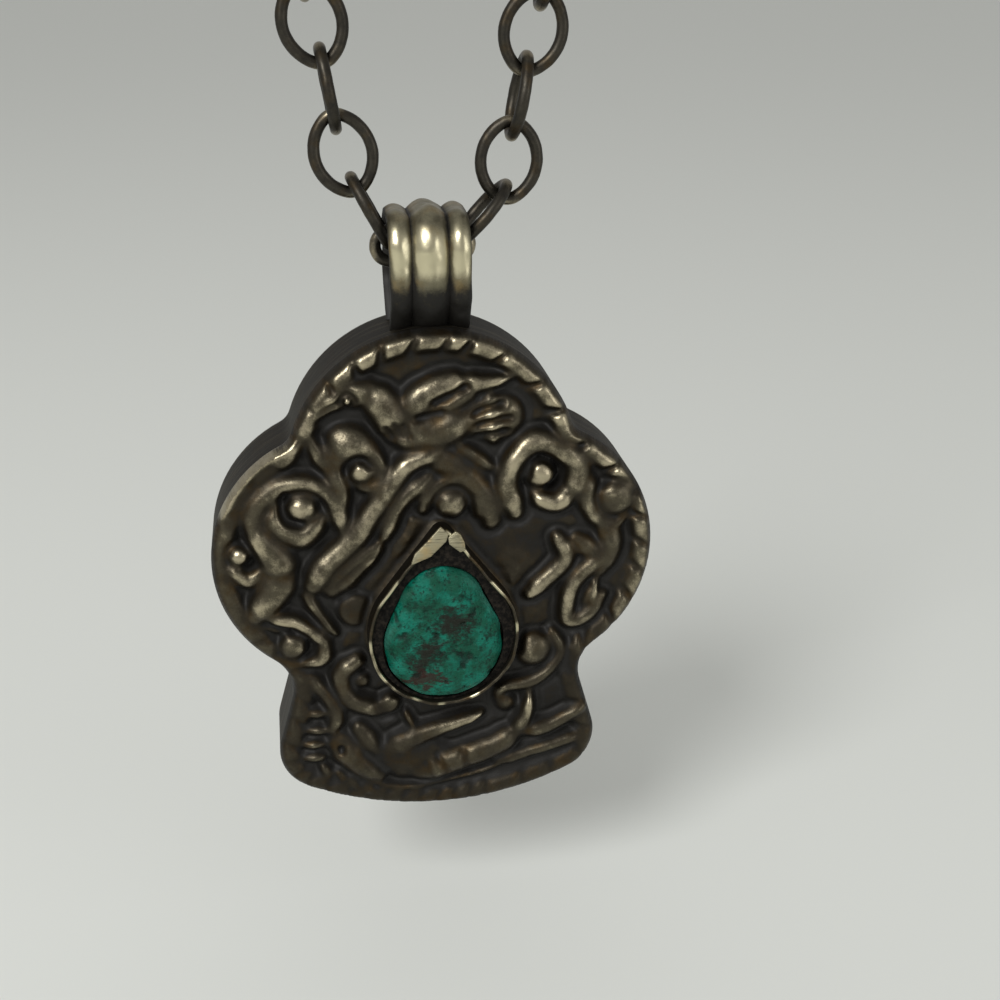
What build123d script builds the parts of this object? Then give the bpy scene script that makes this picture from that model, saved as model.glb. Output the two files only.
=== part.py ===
from build123d import *
from math import cos, hypot, radians, sin, sqrt
import os

# Ghau amulet box hanging on a link chain, in millimetres.
# X runs across the box, the ornamented front faces -Y and +Z is up.
# The origin lies between the two ends of the chain, where a neck carries them.

# Box outline, measured from a reference point near the middle of the face
TOP_RADIUS = 18.3
TOP_RISE = 12.9
LOBE_RADIUS = 17.0
LOBE_SPREAD = 11.0
LOBE_RISE = 2.0
FOOT_NECK_HALF = 14.0
FOOT_HALF = 23.9
FOOT_DROP = 34.7
FOOT_BOW = 40.5
NOTCH_FILLET = 2.7
WAIST_FILLET = 5.2
FOOT_FILLET = 5.9

# Box shell
DEPTH = 9.0
WALL = 0.9
SHEET = 0.7
RIM_INSET = 0.7
RIM_WIDTH = 2.4
RIM_RISE = 0.8
FIELD_INSET = 3.2
FIELD_RISE = 0.6
FIELD_SLOPE = 0.7
EDGE_ROUND = 0.5

# Lift-off back
LID_PLATE = 0.7
FLANGE = 0.6
FLANGE_DEPTH = 2.2
LID_CLEARANCE = 0.1

# Stone setting on the face
SETTING_X = 0.6
SETTING_DROP = 8.4
SETTING_RADIUS = 9.7
SETTING_TIP = 15.0
SETTING_TIP_RADIUS = 1.4
SEAT_RISE = 0.7
SEAT_MARGIN = 0.4
BEZEL = 0.6
BEZEL_HEIGHT = 2.4
CEMENT_HEIGHT = 1.5
STONE_X = 0.5
STONE_DROP = 9.4
STONE_RADIUS = 7.8
STONE_CROWN_RADIUS = 5.6
STONE_CROWN_RISE = 5.2
STONE_HEIGHT = 3.8
STONE_ROUND = 2.6

# Chased work on the face: each ridge has a half width and the places that it runs through,
# across and up from the reference point, and each boss a radius and its place
BIRD = (
    (1.3, ((-10.5, 23.5), (-8.5, 23.0), (-6.5, 21.0), (-4.0, 18.5), (-1.0, 18.0), (3.0, 19.0), (10.0, 20.5))),
    (0.9, ((-2.5, 18.5), (-1.5, 23.0), (0.5, 25.0), (3.0, 25.5), (5.5, 24.5))),
)
CLOUDS = (
    (1.1, ((-14.0, 15.5), (-12.5, 17.5), (-10.5, 17.5), (-8.0, 16.0), (-7.0, 14.0), (-8.5, 12.0))),
    (0.9, ((-12.0, 8.0), (-13.0, 10.5), (-15.5, 12.0), (-19.0, 11.5), (-21.5, 9.5), (-22.5, 6.0))),
    (1.3, ((-21.5, 4.0), (-20.0, 2.0), (-20.0, -1.5), (-22.0, -4.5))),
    (1.0, ((-0.5, 15.5), (-3.5, 14.0), (-6.5, 11.0), (-9.5, 6.0), (-13.0, 1.0))),
    (0.8, ((-1.0, 12.0), (-4.0, 9.0), (-6.0, 5.5))),
    (1.0, ((-8.0, 2.5), (-11.0, -0.5), (-13.0, -2.0))),
    (0.8, ((10.0, 9.0), (9.0, 12.0), (10.0, 15.0), (13.0, 16.0), (16.5, 15.0), (18.0, 12.5), (17.0, 9.5), (14.0, 8.5))),
    (0.8, ((21.5, 0.5), (19.0, -1.5), (17.5, -4.5), (17.5, -8.0))),
    (0.9, ((21.0, -3.5), (20.5, -5.5), (19.0, -7.5))),
    (0.7, ((15.5, 2.0), (16.5, 0.0), (15.5, -2.5), (13.0, -4.5))),
)
BRANCHES = (
    (1.0, ((-10.5, -12.0), (-12.5, -14.0), (-12.0, -17.0), (-9.5, -19.0), (-6.5, -19.0))),
    (1.2, ((-13.0, -25.0), (-10.5, -27.5), (-7.5, -30.0))),
    (1.0, ((-6.5, -26.5), (-2.0, -24.0), (2.5, -22.5), (6.0, -21.5))),
    (1.1, ((-2.0, -29.5), (4.0, -27.5), (8.5, -25.0), (11.5, -22.5), (12.0, -20.0))),
)
BOSSES = (
    (1.4, (-16.5, 8.5)),
    (1.1, (-9.5, 14.0)),
    (1.1, (13.5, 12.5)),
    (1.6, (23.0, 8.0)),
    (1.5, (2.0, 9.0)),
    (1.6, (13.0, -12.0)),
    (1.1, (-18.5, -9.0)),
)

# Rolled prayer inside the box
SCROLL_RADIUS = 3.0
SCROLL_CORE = 0.9
SCROLL_PITCH = 0.6
SCROLL_PAPER = 0.3
SCROLL_LENGTH = 26.0
SCROLL_GAP = 0.15
SCROLL_CLEARANCE = 0.05
TIE_THICKNESS = 0.35
TIE_WIDTH = 1.2
TIE_SPACING = 13.0

# Chain link
LINK_LENGTH = 10.7
CENTRE_LENGTH = 13.0
LINK_WIDTH = 8.3
CENTRE_WIDTH = 6.4
WIRE = 1.5
END_RADIUS = 1.9
LINK_GAP = 0.2
LEFT_LEANS = (11.0, 14.0, 9.5, 15.0, 28.0)
RIGHT_LEANS = (-12.0, -15.0, -11.5, -5.0, -42.0)
CENTRE_LINK_X = -0.4

# Bail, a ribbed strip bent over the centre link
BAIL_HALF = 5.2
BAIL_FOOT_HALF = 0.7
BAIL_DROP = 12.45
BAIL_SEAT = 2.0
BAIL_PINCH = 4.2
BAIL_ROUND = 3.2
STRIP_HALF = 4.9
STRIP_EDGE = 0.5
STRIP_VALLEY = 0.8
STRIP_VALLEY_X = 2.2
SIDE_RIB = 1.35
SIDE_RIB_X = 3.65
MIDDLE_RIB = 1.85

half_length = (LINK_LENGTH - WIRE) / 2
half_width = (LINK_WIDTH - WIRE) / 2
centre_half_width = (CENTRE_WIDTH - WIRE) / 2
end_offset = half_length - END_RADIUS


def lean(angle):
    """Downward direction of a link that leans from plumb by an angle."""
    return Vector(sin(radians(angle)), 0, -cos(radians(angle)))


def hang_side(leans, outward):
    """Centres of one side's links, and the wires they turn on, from the middle link at (0, 0)."""
    centres = {}
    pivots = {}
    bend = outward * ((CENTRE_LENGTH - WIRE) / 2 - END_RADIUS)
    axis = outward
    tip = None
    below = None
    for place in reversed(range(len(leans))):
        down = lean(leans[place])
        if place % 2 == 0:
            normal = (axis - down).normalized()
            wire = bend + normal * END_RADIUS
            centre = wire - normal * (WIRE + LINK_GAP) - down * half_length
            tip = centre - down * half_length
        else:
            normal = (down + below).normalized()
            wire = tip + normal * (WIRE + LINK_GAP)
            centre = wire - normal * END_RADIUS - down * end_offset
            bend = centre - down * end_offset
            axis = down * -1
        below = down
        centres[place] = centre
        pivots[place] = wire
    return centres, pivots, tip


left_centres, left_pivots, left_top = hang_side(LEFT_LEANS, Vector(-1, 0, 0))
right_centres, right_pivots, right_top = hang_side(RIGHT_LEANS, Vector(1, 0, 0))

middle_link = Vector(CENTRE_LINK_X, 0, -(left_top.Z + right_top.Z) / 2)
bail_top = middle_link.Z + centre_half_width + WIRE / 2 + LINK_GAP
box_top = bail_top - BAIL_DROP
box_z = box_top - TOP_RISE - TOP_RADIUS
front = -DEPTH / 2
field_front = front - SHEET - FIELD_RISE
seat_front = field_front - SEAT_RISE


def facing(y):
    """Sketch plane of the box at a depth, looking out of its front."""
    return Plane(origin=(0, y, box_z), x_dir=(1, 0, 0), z_dir=(0, -1, 0))


def box_outline(inset=0.0):
    """The lobed outline of the box, drawn in by an amount."""
    flare = hypot(FOOT_HALF - FOOT_NECK_HALF, FOOT_DROP) / FOOT_DROP
    neck = FOOT_NECK_HALF - inset * flare
    foot = FOOT_HALF - inset * flare
    with BuildSketch() as outline:
        with BuildLine():
            Polyline(
                (-foot, -FOOT_DROP),
                (-neck, 0),
                (neck, 0),
                (foot, -FOOT_DROP),
                close=True,
            )
        make_face()
        with Locations((0, FOOT_BOW - FOOT_DROP)):
            Circle(FOOT_BOW - inset, mode=Mode.INTERSECT)
        with Locations((0, TOP_RISE)):
            Circle(TOP_RADIUS - inset)
        with Locations((-LOBE_SPREAD, LOBE_RISE), (LOBE_SPREAD, LOBE_RISE)):
            Circle(LOBE_RADIUS - inset)
        fillet(outline.vertices().group_by(Axis.Y)[1], WAIST_FILLET + inset)
        fillet(outline.vertices().group_by(Axis.Y)[0], FOOT_FILLET - inset)
        fillet(outline.vertices().group_by(Axis.Y)[-1], NOTCH_FILLET + inset)
    return outline.sketch


def egg_outline(radius, crown_radius, crown_rise):
    """A round body drawn out to a smaller round crown above it."""
    level = (radius - crown_radius) / crown_rise
    span = sqrt(1 - level**2)
    with BuildSketch() as egg:
        with BuildLine():
            ThreePointArc(
                (radius * span, radius * level),
                (0, -radius),
                (-radius * span, radius * level),
            )
            Line(
                (-radius * span, radius * level),
                (-crown_radius * span, crown_rise + crown_radius * level),
            )
            ThreePointArc(
                (-crown_radius * span, crown_rise + crown_radius * level),
                (0, crown_rise + crown_radius),
                (crown_radius * span, crown_rise + crown_radius * level),
            )
            Line(
                (crown_radius * span, crown_rise + crown_radius * level),
                (radius * span, radius * level),
            )
        make_face()
    return egg.sketch


def raised_field(y, inset):
    """The pan-shaped rise inside the rim, from a depth, drawn in by an amount."""
    with BuildPart() as field:
        with BuildSketch(facing(y)):
            add(box_outline(FIELD_INSET + inset))
        with BuildSketch(facing(y - FIELD_RISE)):
            add(box_outline(FIELD_INSET + FIELD_SLOPE + inset))
        loft(ruled=True)
    return field.part


def ridge(half, places):
    """A rounded ridge of the chased work, half sunk in the field."""
    with BuildPart() as raised:
        with BuildLine(facing(field_front)) as run:
            Spline(*places)
        line = run.wire()
        with BuildSketch(Plane(origin=line @ 0, z_dir=line % 0)):
            Circle(half)
        sweep(path=line)
    return raised.part


os.makedirs("parts", exist_ok=True)


def keep(piece, name):
    """Label a finished piece and write its file."""
    piece.part.label = name
    export_step(piece.part, f"parts/{name}.step")


tip_rise = SETTING_TIP - SETTING_TIP_RADIUS

with BuildPart() as side_wall:
    with BuildSketch(facing(DEPTH / 2)):
        add(box_outline())
        add(box_outline(WALL), mode=Mode.SUBTRACT)
    extrude(amount=DEPTH)
keep(side_wall, "side_wall")

with BuildPart() as front_cover:
    with BuildSketch(facing(front)):
        add(box_outline())
    extrude(amount=SHEET)
    fillet(front_cover.faces().sort_by(Axis.Y)[0].outer_wire().edges(), EDGE_ROUND)
    with BuildSketch(facing(front - SHEET)):
        add(box_outline(RIM_INSET))
        add(box_outline(RIM_INSET + RIM_WIDTH), mode=Mode.SUBTRACT)
    extrude(amount=RIM_RISE)
    add(raised_field(front - SHEET, 0))
    with BuildSketch(facing(front - SHEET)):
        with Locations((SETTING_X, -SETTING_DROP)):
            add(egg_outline(SETTING_RADIUS + SEAT_MARGIN, SETTING_TIP_RADIUS + SEAT_MARGIN, tip_rise))
    extrude(amount=FIELD_RISE + SEAT_RISE)
    for half, places in (*BIRD, *CLOUDS, *BRANCHES):
        add(ridge(half, places))
    for radius, place in BOSSES:
        with Locations(facing(field_front).from_local_coords(place)):
            Sphere(radius)
    add(raised_field(front, SHEET), mode=Mode.SUBTRACT)
    with BuildSketch(facing(front)):
        add(box_outline())
    extrude(amount=-SHEET, mode=Mode.SUBTRACT)
keep(front_cover, "front_cover")

with BuildPart() as back_plate:
    with BuildSketch(facing(DEPTH / 2 + LID_PLATE)):
        add(box_outline())
    extrude(amount=LID_PLATE)
    fillet(back_plate.faces().sort_by(Axis.Y)[-1].outer_wire().edges(), EDGE_ROUND)
keep(back_plate, "back_plate")

with BuildPart() as lid_flange:
    with BuildSketch(facing(DEPTH / 2)):
        add(box_outline(WALL + LID_CLEARANCE))
        add(box_outline(WALL + LID_CLEARANCE + FLANGE), mode=Mode.SUBTRACT)
    extrude(amount=FLANGE_DEPTH)
keep(lid_flange, "lid_flange")

setting_outer = egg_outline(SETTING_RADIUS, SETTING_TIP_RADIUS, tip_rise)
setting_inner = egg_outline(SETTING_RADIUS - BEZEL, SETTING_TIP_RADIUS - BEZEL, tip_rise)

with BuildPart() as bezel:
    with BuildSketch(facing(seat_front)):
        with Locations((SETTING_X, -SETTING_DROP)):
            add(setting_outer)
            add(setting_inner, mode=Mode.SUBTRACT)
    extrude(amount=BEZEL_HEIGHT)
keep(bezel, "bezel")

with BuildPart() as turquoise:
    with BuildSketch(facing(seat_front)):
        with Locations((STONE_X, -STONE_DROP)):
            add(egg_outline(STONE_RADIUS, STONE_CROWN_RADIUS, STONE_CROWN_RISE))
    extrude(amount=STONE_HEIGHT)
    fillet(turquoise.faces().sort_by(Axis.Y)[0].edges(), STONE_ROUND)
keep(turquoise, "turquoise")

with BuildPart() as setting_cement:
    with BuildSketch(facing(seat_front)):
        with Locations((SETTING_X, -SETTING_DROP)):
            add(setting_inner)
    extrude(amount=CEMENT_HEIGHT)
    add(turquoise.part, mode=Mode.SUBTRACT)
keep(setting_cement, "setting_cement")

with BuildPart() as bail:
    with BuildLine(Plane.YZ) as strip_path:
        FilletPolyline(
            (-BAIL_FOOT_HALF, box_top - BAIL_SEAT),
            (-BAIL_HALF, box_top + BAIL_PINCH),
            (-BAIL_HALF, bail_top),
            (BAIL_HALF, bail_top),
            (BAIL_HALF, box_top + BAIL_PINCH),
            (BAIL_FOOT_HALF, box_top - BAIL_SEAT),
            radius=BAIL_ROUND,
        )
    strip = strip_path.wire()
    with BuildSketch(Plane(origin=strip @ 0, x_dir=(1, 0, 0), z_dir=strip % 0)):
        with BuildLine():
            Polyline(
                (-STRIP_HALF, -STRIP_EDGE),
                (-STRIP_HALF, 0),
                (STRIP_HALF, 0),
                (STRIP_HALF, -STRIP_EDGE),
            )
            ThreePointArc(
                (STRIP_HALF, -STRIP_EDGE),
                (SIDE_RIB_X, -SIDE_RIB),
                (STRIP_VALLEY_X, -STRIP_VALLEY),
            )
            ThreePointArc(
                (STRIP_VALLEY_X, -STRIP_VALLEY),
                (0, -MIDDLE_RIB),
                (-STRIP_VALLEY_X, -STRIP_VALLEY),
            )
            ThreePointArc(
                (-STRIP_VALLEY_X, -STRIP_VALLEY),
                (-SIDE_RIB_X, -SIDE_RIB),
                (-STRIP_HALF, -STRIP_EDGE),
            )
        make_face()
    sweep(path=strip)
    with BuildSketch(facing(DEPTH / 2 + LID_PLATE)):
        add(box_outline())
    extrude(amount=DEPTH + LID_PLATE + SHEET + RIM_RISE, mode=Mode.SUBTRACT)
keep(bail, "bail")

floor_rise = FOOT_BOW - FOOT_DROP - sqrt((FOOT_BOW - WALL) ** 2 - (SCROLL_LENGTH / 2) ** 2)
scroll_y = front + SCROLL_GAP + SCROLL_RADIUS + SCROLL_CLEARANCE + TIE_THICKNESS + SCROLL_PITCH / 4
scroll_z = box_z + floor_rise + SCROLL_RADIUS + TIE_THICKNESS + SCROLL_CLEARANCE
scroll_turns = int((SCROLL_RADIUS - SCROLL_PAPER / 2 - SCROLL_CORE) / SCROLL_PITCH * 2)


def across_scroll(x):
    """Sketch plane across the scroll at a distance along it."""
    return Plane(origin=(x, scroll_y, scroll_z), x_dir=(0, 1, 0), z_dir=(1, 0, 0))


with BuildPart() as prayer_scroll:
    with BuildSketch(across_scroll(-SCROLL_LENGTH / 2)):
        with BuildLine():
            for turn in range(scroll_turns):
                side = 1 if turn % 2 else -1
                radius = SCROLL_RADIUS - SCROLL_PAPER / 2 - turn * SCROLL_PITCH / 2
                CenterArc((side * SCROLL_PITCH / 4, 0), radius, 180 * (turn % 2), 180)
        trace(line_width=SCROLL_PAPER)
    extrude(amount=SCROLL_LENGTH)
keep(prayer_scroll, "prayer_scroll")

with BuildPart() as scroll_ties:
    for tie_x in (-TIE_SPACING / 2, TIE_SPACING / 2):
        with BuildSketch(across_scroll(tie_x - TIE_WIDTH / 2)):
            Circle(SCROLL_RADIUS + SCROLL_CLEARANCE + TIE_THICKNESS + SCROLL_PITCH / 4)
            Circle(SCROLL_RADIUS + SCROLL_CLEARANCE + SCROLL_PITCH / 4, mode=Mode.SUBTRACT)
        extrude(amount=TIE_WIDTH)
keep(scroll_ties, "scroll_ties")


def keep_link(name, centre, down, face_on, length=LINK_LENGTH, half_width=half_width):
    """Bend one oval link from round wire and write its file."""
    up = down * -1
    away = Vector(0, -1, 0) if face_on else Vector(0, 1, 0).cross(up)
    plane = Plane(origin=centre, x_dir=up.cross(away), z_dir=away)
    tip = (length - WIRE) / 2
    bend = tip - END_RADIUS
    side_radius = (half_width**2 + bend**2 - END_RADIUS**2) / (2 * (half_width - END_RADIUS))
    join_x = END_RADIUS * (side_radius - half_width) / (side_radius - END_RADIUS)
    join_y = bend * side_radius / (side_radius - END_RADIUS)
    with BuildPart() as link:
        with BuildLine(plane) as loop:
            ThreePointArc((join_x, -join_y), (half_width, 0), (join_x, join_y))
            ThreePointArc((join_x, join_y), (0, tip), (-join_x, join_y))
            ThreePointArc((-join_x, join_y), (-half_width, 0), (-join_x, -join_y))
            ThreePointArc((-join_x, -join_y), (0, -tip), (join_x, -join_y))
        bent = loop.wire()
        with BuildSketch(Plane(origin=bent @ 0, z_dir=bent % 0)):
            Circle(WIRE / 2)
        sweep(path=bent)
    keep(link, name)


keep_link("centre_link", middle_link, Vector(1, 0, 0), True, CENTRE_LENGTH, centre_half_width)
for place, angle in enumerate(LEFT_LEANS):
    keep_link(f"left_link_{place}", middle_link + left_centres[place], lean(angle), place % 2 == 1)
for place, angle in enumerate(RIGHT_LEANS):
    keep_link(f"right_link_{place}", middle_link + right_centres[place], lean(angle), place % 2 == 1)
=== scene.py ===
"""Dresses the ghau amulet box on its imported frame: chased front, set stone, bail, chain and contents."""
import math

import bmesh
import bpy
import numpy as np
from bpy.props import FloatProperty, FloatVectorProperty, PointerProperty
from bpy.types import Operator, Panel, PropertyGroup
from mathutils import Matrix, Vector


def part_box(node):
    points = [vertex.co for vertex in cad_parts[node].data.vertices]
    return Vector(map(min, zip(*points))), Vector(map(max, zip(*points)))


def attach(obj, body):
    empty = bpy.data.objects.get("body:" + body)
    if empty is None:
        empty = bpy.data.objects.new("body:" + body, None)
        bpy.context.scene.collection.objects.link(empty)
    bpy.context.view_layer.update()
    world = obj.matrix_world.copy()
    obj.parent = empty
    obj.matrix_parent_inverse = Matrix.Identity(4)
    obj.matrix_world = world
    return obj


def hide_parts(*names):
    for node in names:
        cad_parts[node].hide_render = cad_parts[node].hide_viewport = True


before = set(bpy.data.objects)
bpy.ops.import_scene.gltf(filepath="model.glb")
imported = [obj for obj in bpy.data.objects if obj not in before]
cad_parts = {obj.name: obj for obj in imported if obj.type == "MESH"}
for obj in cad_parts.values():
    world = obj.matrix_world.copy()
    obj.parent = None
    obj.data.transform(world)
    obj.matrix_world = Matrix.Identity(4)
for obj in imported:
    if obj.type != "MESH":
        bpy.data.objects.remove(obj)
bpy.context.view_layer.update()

bl_info = {
    "name": "Ghau Amulet Box",
    "version": (1, 0, 0),
    "blender": (4, 5, 0),
    "location": "View3D > Sidebar > Ghau",
    "description": "Chased front, stone setting, bail, chain and contents of an amulet box",
    "category": "Object",
}

MM = 0.001

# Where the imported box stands, in metres; the middle of the face lies FACE_TOP under its top
COVER_LOW, COVER_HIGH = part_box("front_cover")
FACE_TOP = 0.0312
FACE_Z = COVER_HIGH.z - FACE_TOP
WALL_FRONT = COVER_HIGH.y
SHEET = 0.0007
SHEET_FRONT = WALL_FRONT - SHEET

# Height of the setting's seat over the sheet, in millimetres
SEAT_LEVEL = (SHEET_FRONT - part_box("bezel")[1].y) / MM

# Relief of the front, in millimetres from the middle of the face. A raised stroke has its
# half width at the start and at the end, its height, and its points across and up.
BIRD = {
    "upper beak": (0.9, 0.6, 1.6, ((-10.5, 23.5), (-12.5, 23), (-15, 21))),
    "lower beak": (0.7, 0.6, 1.3, ((-10.5, 22.5), (-12.5, 22), (-15, 20.5))),
    "head": (2.0, 2.0, 1.6, ((-12, 23), (-10.5, 23.5), (-7.5, 24))),
    "neck": (2.3, 3.0, 1.7, ((-8, 24), (-6.5, 22.5), (-4, 19))),
    "body": (3.0, 2.4, 1.7, ((-4.5, 19), (-2.5, 18.5), (0.5, 18.5), (4, 20))),
    "wing": (2.3, 2.4, 1.6, ((-3, 20.5), (-2, 22.5), (1, 24), (4, 24))),
    "wing tip": (1.8, 0.8, 1.3, ((3.5, 24.5), (6.5, 24.5), (9.5, 25))),
    "under wing": (1.4, 1.2, 1.2, ((-2, 20), (1, 21.5), (4.5, 23))),
    "tail": (3.8, 4.1, 1.6, ((5.8, 19.8), (8.4, 20))),
}
CLOUDS = {
    "ear": (1.0, 1.4, 1.1, ((-15, 18.5), (-14.5, 16.5), (-13.5, 14.5))),
    "cloud": (3.4, 3.0, 1.7, ((-12, 16), (-10.5, 17), (-9, 15.5), (-8.5, 14))),
    "cloud lip": (1.6, 1.2, 1.5, ((-8, 16.5), (-7, 14.5), (-7, 12.5), (-8.5, 12), (-10, 12.5))),
    "cloud stem": (2.2, 0.6, 1.3, ((-12.5, 14.5), (-11.5, 11), (-11.5, 8))),
    "shoulder edge": (1.0, 1.0, 1.3, ((-18, 17), (-21, 15.5), (-24, 12.5), (-26.5, 8.5))),
    "shoulder arm": (1.6, 1.2, 1.2, ((-16.5, 18), (-17.5, 17), (-20, 16))),
    "left spiral": (
        1.8, 1.6, 1.5,
        ((-21.5, 4.5), (-22.5, 8.5), (-20.5, 11.5), (-17, 12.5), (-13, 11), (-11.5, 6.5)),
    ),
    "left coil": (2.2, 2.4, 1.7, ((-19.5, 9.5), (-19.5, 7.5), (-17, 6), (-15.5, 7.5), (-16, 9))),
    "left band": (1.8, 3.0, 1.8, ((-22.5, 7.5), (-21.5, 5), (-20, 3), (-19.5, 0.5))),
    "left band foot": (3.0, 2.0, 1.8, ((-19.5, 1), (-20.5, -1.5), (-23, -5))),
    "left hook": (1.3, 1.4, 1.3, ((-24.5, 3), (-25, 1.5), (-23.5, 0), (-21.5, 1.5))),
    "vein": (1.2, 1.4, 1.5, ((-21.5, -5), (-18, -6), (-14.5, -9))),
    "vein end": (1.6, 1.0, 1.3, ((-14.5, -9.5), (-15, -11.5), (-17.5, -12))),
    "ledge": (0.3, 0.3, 0.8, ((-23, -6), (-20, -7.5), (-17.5, -8))),
    "long ridge": (
        1.6, 2.2, 1.8,
        ((0.5, 16), (-3.5, 14.5), (-6.5, 10.5), (-10, 5.5), (-14, 1.5), (-15.5, -1)),
    ),
    "inner ridge": (1.6, 1.4, 1.4, ((-1, 12.5), (-4.5, 9.5), (-6.5, 5))),
    "leaf": (1.6, 2.4, 1.3, ((-7.5, 3.5), (-10.5, 1), (-13, -1.5))),
    "tendril": (1.2, 0.8, 1.0, ((-16.5, -2.5), (-14.5, -6), (-13, -8))),
    "crown band": (2.2, 2.2, 1.2, ((-0.5, 15.5), (3.5, 13), (6.5, 9), (7, 6.5))),
    "crown ridge": (1.2, 1.2, 1.1, ((3, 16.5), (7, 13.5))),
    "crown arch": (1.4, 1.4, 1.1, ((-1.5, 8.5), (-0.5, 10.5), (2.5, 12), (5, 10), (5.5, 7.5))),
    "right spiral": (2.0, 2.0, 1.7, ((10, 7.5), (9, 12), (12.5, 16.5), (17.5, 14), (18, 11.5), (17, 9.5))),
    "right coil": (1.8, 1.6, 1.7, ((17, 10), (15.5, 8.5), (13.5, 9), (12.5, 10.5))),
    "right leaf": (2.0, 1.8, 1.3, ((19, 11.5), (19.5, 8.5), (21.5, 5))),
    "right stem": (1.8, 2.2, 1.2, ((21.5, 5), (22.5, 2.5), (21, -1))),
    "boss ring": (1.0, 1.0, 1.0, ((21, 7.5), (23, 5), (25, 7.5))),
    "right hook": (1.6, 1.6, 1.4, ((15.5, 3.5), (16.5, 0.5), (12, -4))),
    "right spray": (1.8, 1.6, 1.1, ((18, 3), (21.5, 0.5))),
    "right loop": (1.6, 1.4, 1.4, ((21.5, 1), (17.5, -3), (17, -8), (19.5, -7.5), (21.5, -5))),
    "right bud": (1.0, 1.6, 1.5, ((20.5, -3), (19.5, -6.5))),
}
ROOTS = {
    "lower hook": (1.8, 1.6, 1.5, ((-10.5, -12), (-12.5, -14), (-11.5, -17.5), (-8, -19), (-6, -18))),
    "left vine": (1.2, 1.4, 1.2, ((-16.5, -14), (-13.5, -19), (-14, -22))),
    "root": (2.8, 1.4, 1.6, ((-13, -24), (-10.5, -27.5), (-8, -29.5))),
    "stub": (1.8, 1.6, 1.3, ((-10.5, -22), (-8.5, -25.5))),
    "trunk": (4.0, 3.2, 1.1, ((-6.5, -26.5), (0, -27.5))),
    "upper branch": (2.2, 1.0, 1.6, ((-6.5, -25.5), (-3, -23.5), (5.5, -21))),
    "thorn": (0.8, 0.6, 1.2, ((-4.5, -20), (-3, -23))),
    "long branch": (2.4, 2.0, 1.8, ((-2.5, -29), (7, -26), (10, -24))),
    "rising twig": (1.6, 1.0, 1.7, ((10, -24), (11.5, -21.5), (12, -18.5))),
    "fork": (1.6, 1.2, 1.4, ((11.5, -24), (15, -23.5), (19.5, -21))),
    "low branch": (1.2, 1.2, 1.1, ((8, -28.5), (19, -25.5))),
    "bottom ledge": (0.4, 0.4, 0.9, ((-12, -29), (-5, -31.5), (4, -30.5), (8.5, -29))),
    "low curl": (1.3, 1.1, 1.1, ((15, -10), (16, -13), (13, -16.5), (8.5, -17.5), (8.5, -20), (10, -20))),
}

# Short pads along the foot's left edge and its lower left corner: places across and up
EDGE_PADS = ((-17, -19.5), (-17, -22), (-17.5, -24), (-17.5, -26))
CORNER_PADS = ((-15.5, -27.5), (-13.5, -28.5), (-12, -29.5), (-10, -30.5))
EDGE_PAD = (1.0, 1.0, 1.2, (2, 0))
CORNER_PAD = (1.0, 1.0, 1.1, (0.8, -1.3))

# Domes: across, up, radius, height
BOSSES = {
    "eye": (-10.5, 23, 0.7, 1.9),
    "cloud curl": (-9, 14, 1.9, 1.7),
    "left coil": (-16.5, 9.5, 2.1, 1.8),
    "left hook": (-24.5, 3.5, 1.4, 1.4),
    "vein": (-18.5, -9.5, 1.9, 1.4),
    "leaf": (-10.5, -5, 2.3, 0.6),
    "lower hook": (-10, -15, 1.2, 0.7),
    "knob": (-6.5, -18.5, 1.6, 1.3),
    "right coil": (13, 12.5, 2.1, 1.7),
    "right rim": (23, 8.5, 2.5, 1.6),
    "crown": (2, 9, 2.1, 1.4),
    "low right": (12.5, -12, 2.6, 1.4),
    "low curl": (9, -19.5, 1.1, 0.8),
}

# Lines cut into the forms: half width, depth, points
CUTS = {
    "eye line": (0.35, 0.6, ((-9.5, 23), (-10.5, 24), (-11.2, 23), (-10.5, 22), (-9.5, 23))),
    "mouth": (0.35, 0.5, ((-11, 23), (-12.5, 22.5), (-14, 21.5))),
    "first breast slit": (0.4, 0.8, ((-6, 19.5), (-5, 18))),
    "second breast slit": (0.4, 0.8, ((-5, 20), (-4, 18.2))),
    "third breast slit": (0.4, 0.8, ((-3.7, 19.7), (-3, 18))),
    "wing slit": (0.55, 1.1, ((0, 22.4), (2, 23.3), (4, 24.2))),
    "wing gap": (0.45, 0.9, ((-2, 20.4), (1, 21.2))),
    "upper tail slit": (0.45, 1.0, ((4.8, 20.6), (6.5, 21.4), (8.5, 21.8))),
    "middle tail slit": (0.45, 1.0, ((5.2, 19.2), (7.5, 19.8), (9.5, 20))),
    "lower tail slit": (0.45, 1.0, ((5.2, 17.6), (7, 18), (9, 18.2))),
    "cloud groove": (0.35, 1.1, ((-11, 14), (-10, 15.5), (-9, 15.5), (-8, 14.5))),
    "left coil groove": (0.35, 1.1, ((-18.5, 11.5), (-19, 10), (-18.5, 8), (-16.5, 7.5))),
    "right coil groove": (
        0.35, 1.0,
        ((11.5, 12), (12, 14), (13.5, 14.5), (15.5, 13), (15.5, 11.5), (14, 10.5)),
    ),
    "leaf line": (0.35, 0.5, ((-8, 3), (-12.5, -1))),
    "root hole": (0.4, 1.6, ((-13, -24.5), (-13, -25))),
    "bud line": (0.35, 0.5, ((20, -3.5), (19.5, -6))),
    "first branch cut": (0.35, 0.6, ((-2, -27.5), (-1, -30))),
    "second branch cut": (0.35, 0.7, ((-0.5, -26.5), (1, -29))),
    "third branch cut": (0.35, 0.7, ((3, -26), (3.5, -28.5))),
}

# How softly neighbouring forms run together, in millimetres
MELT = 0.25

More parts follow.
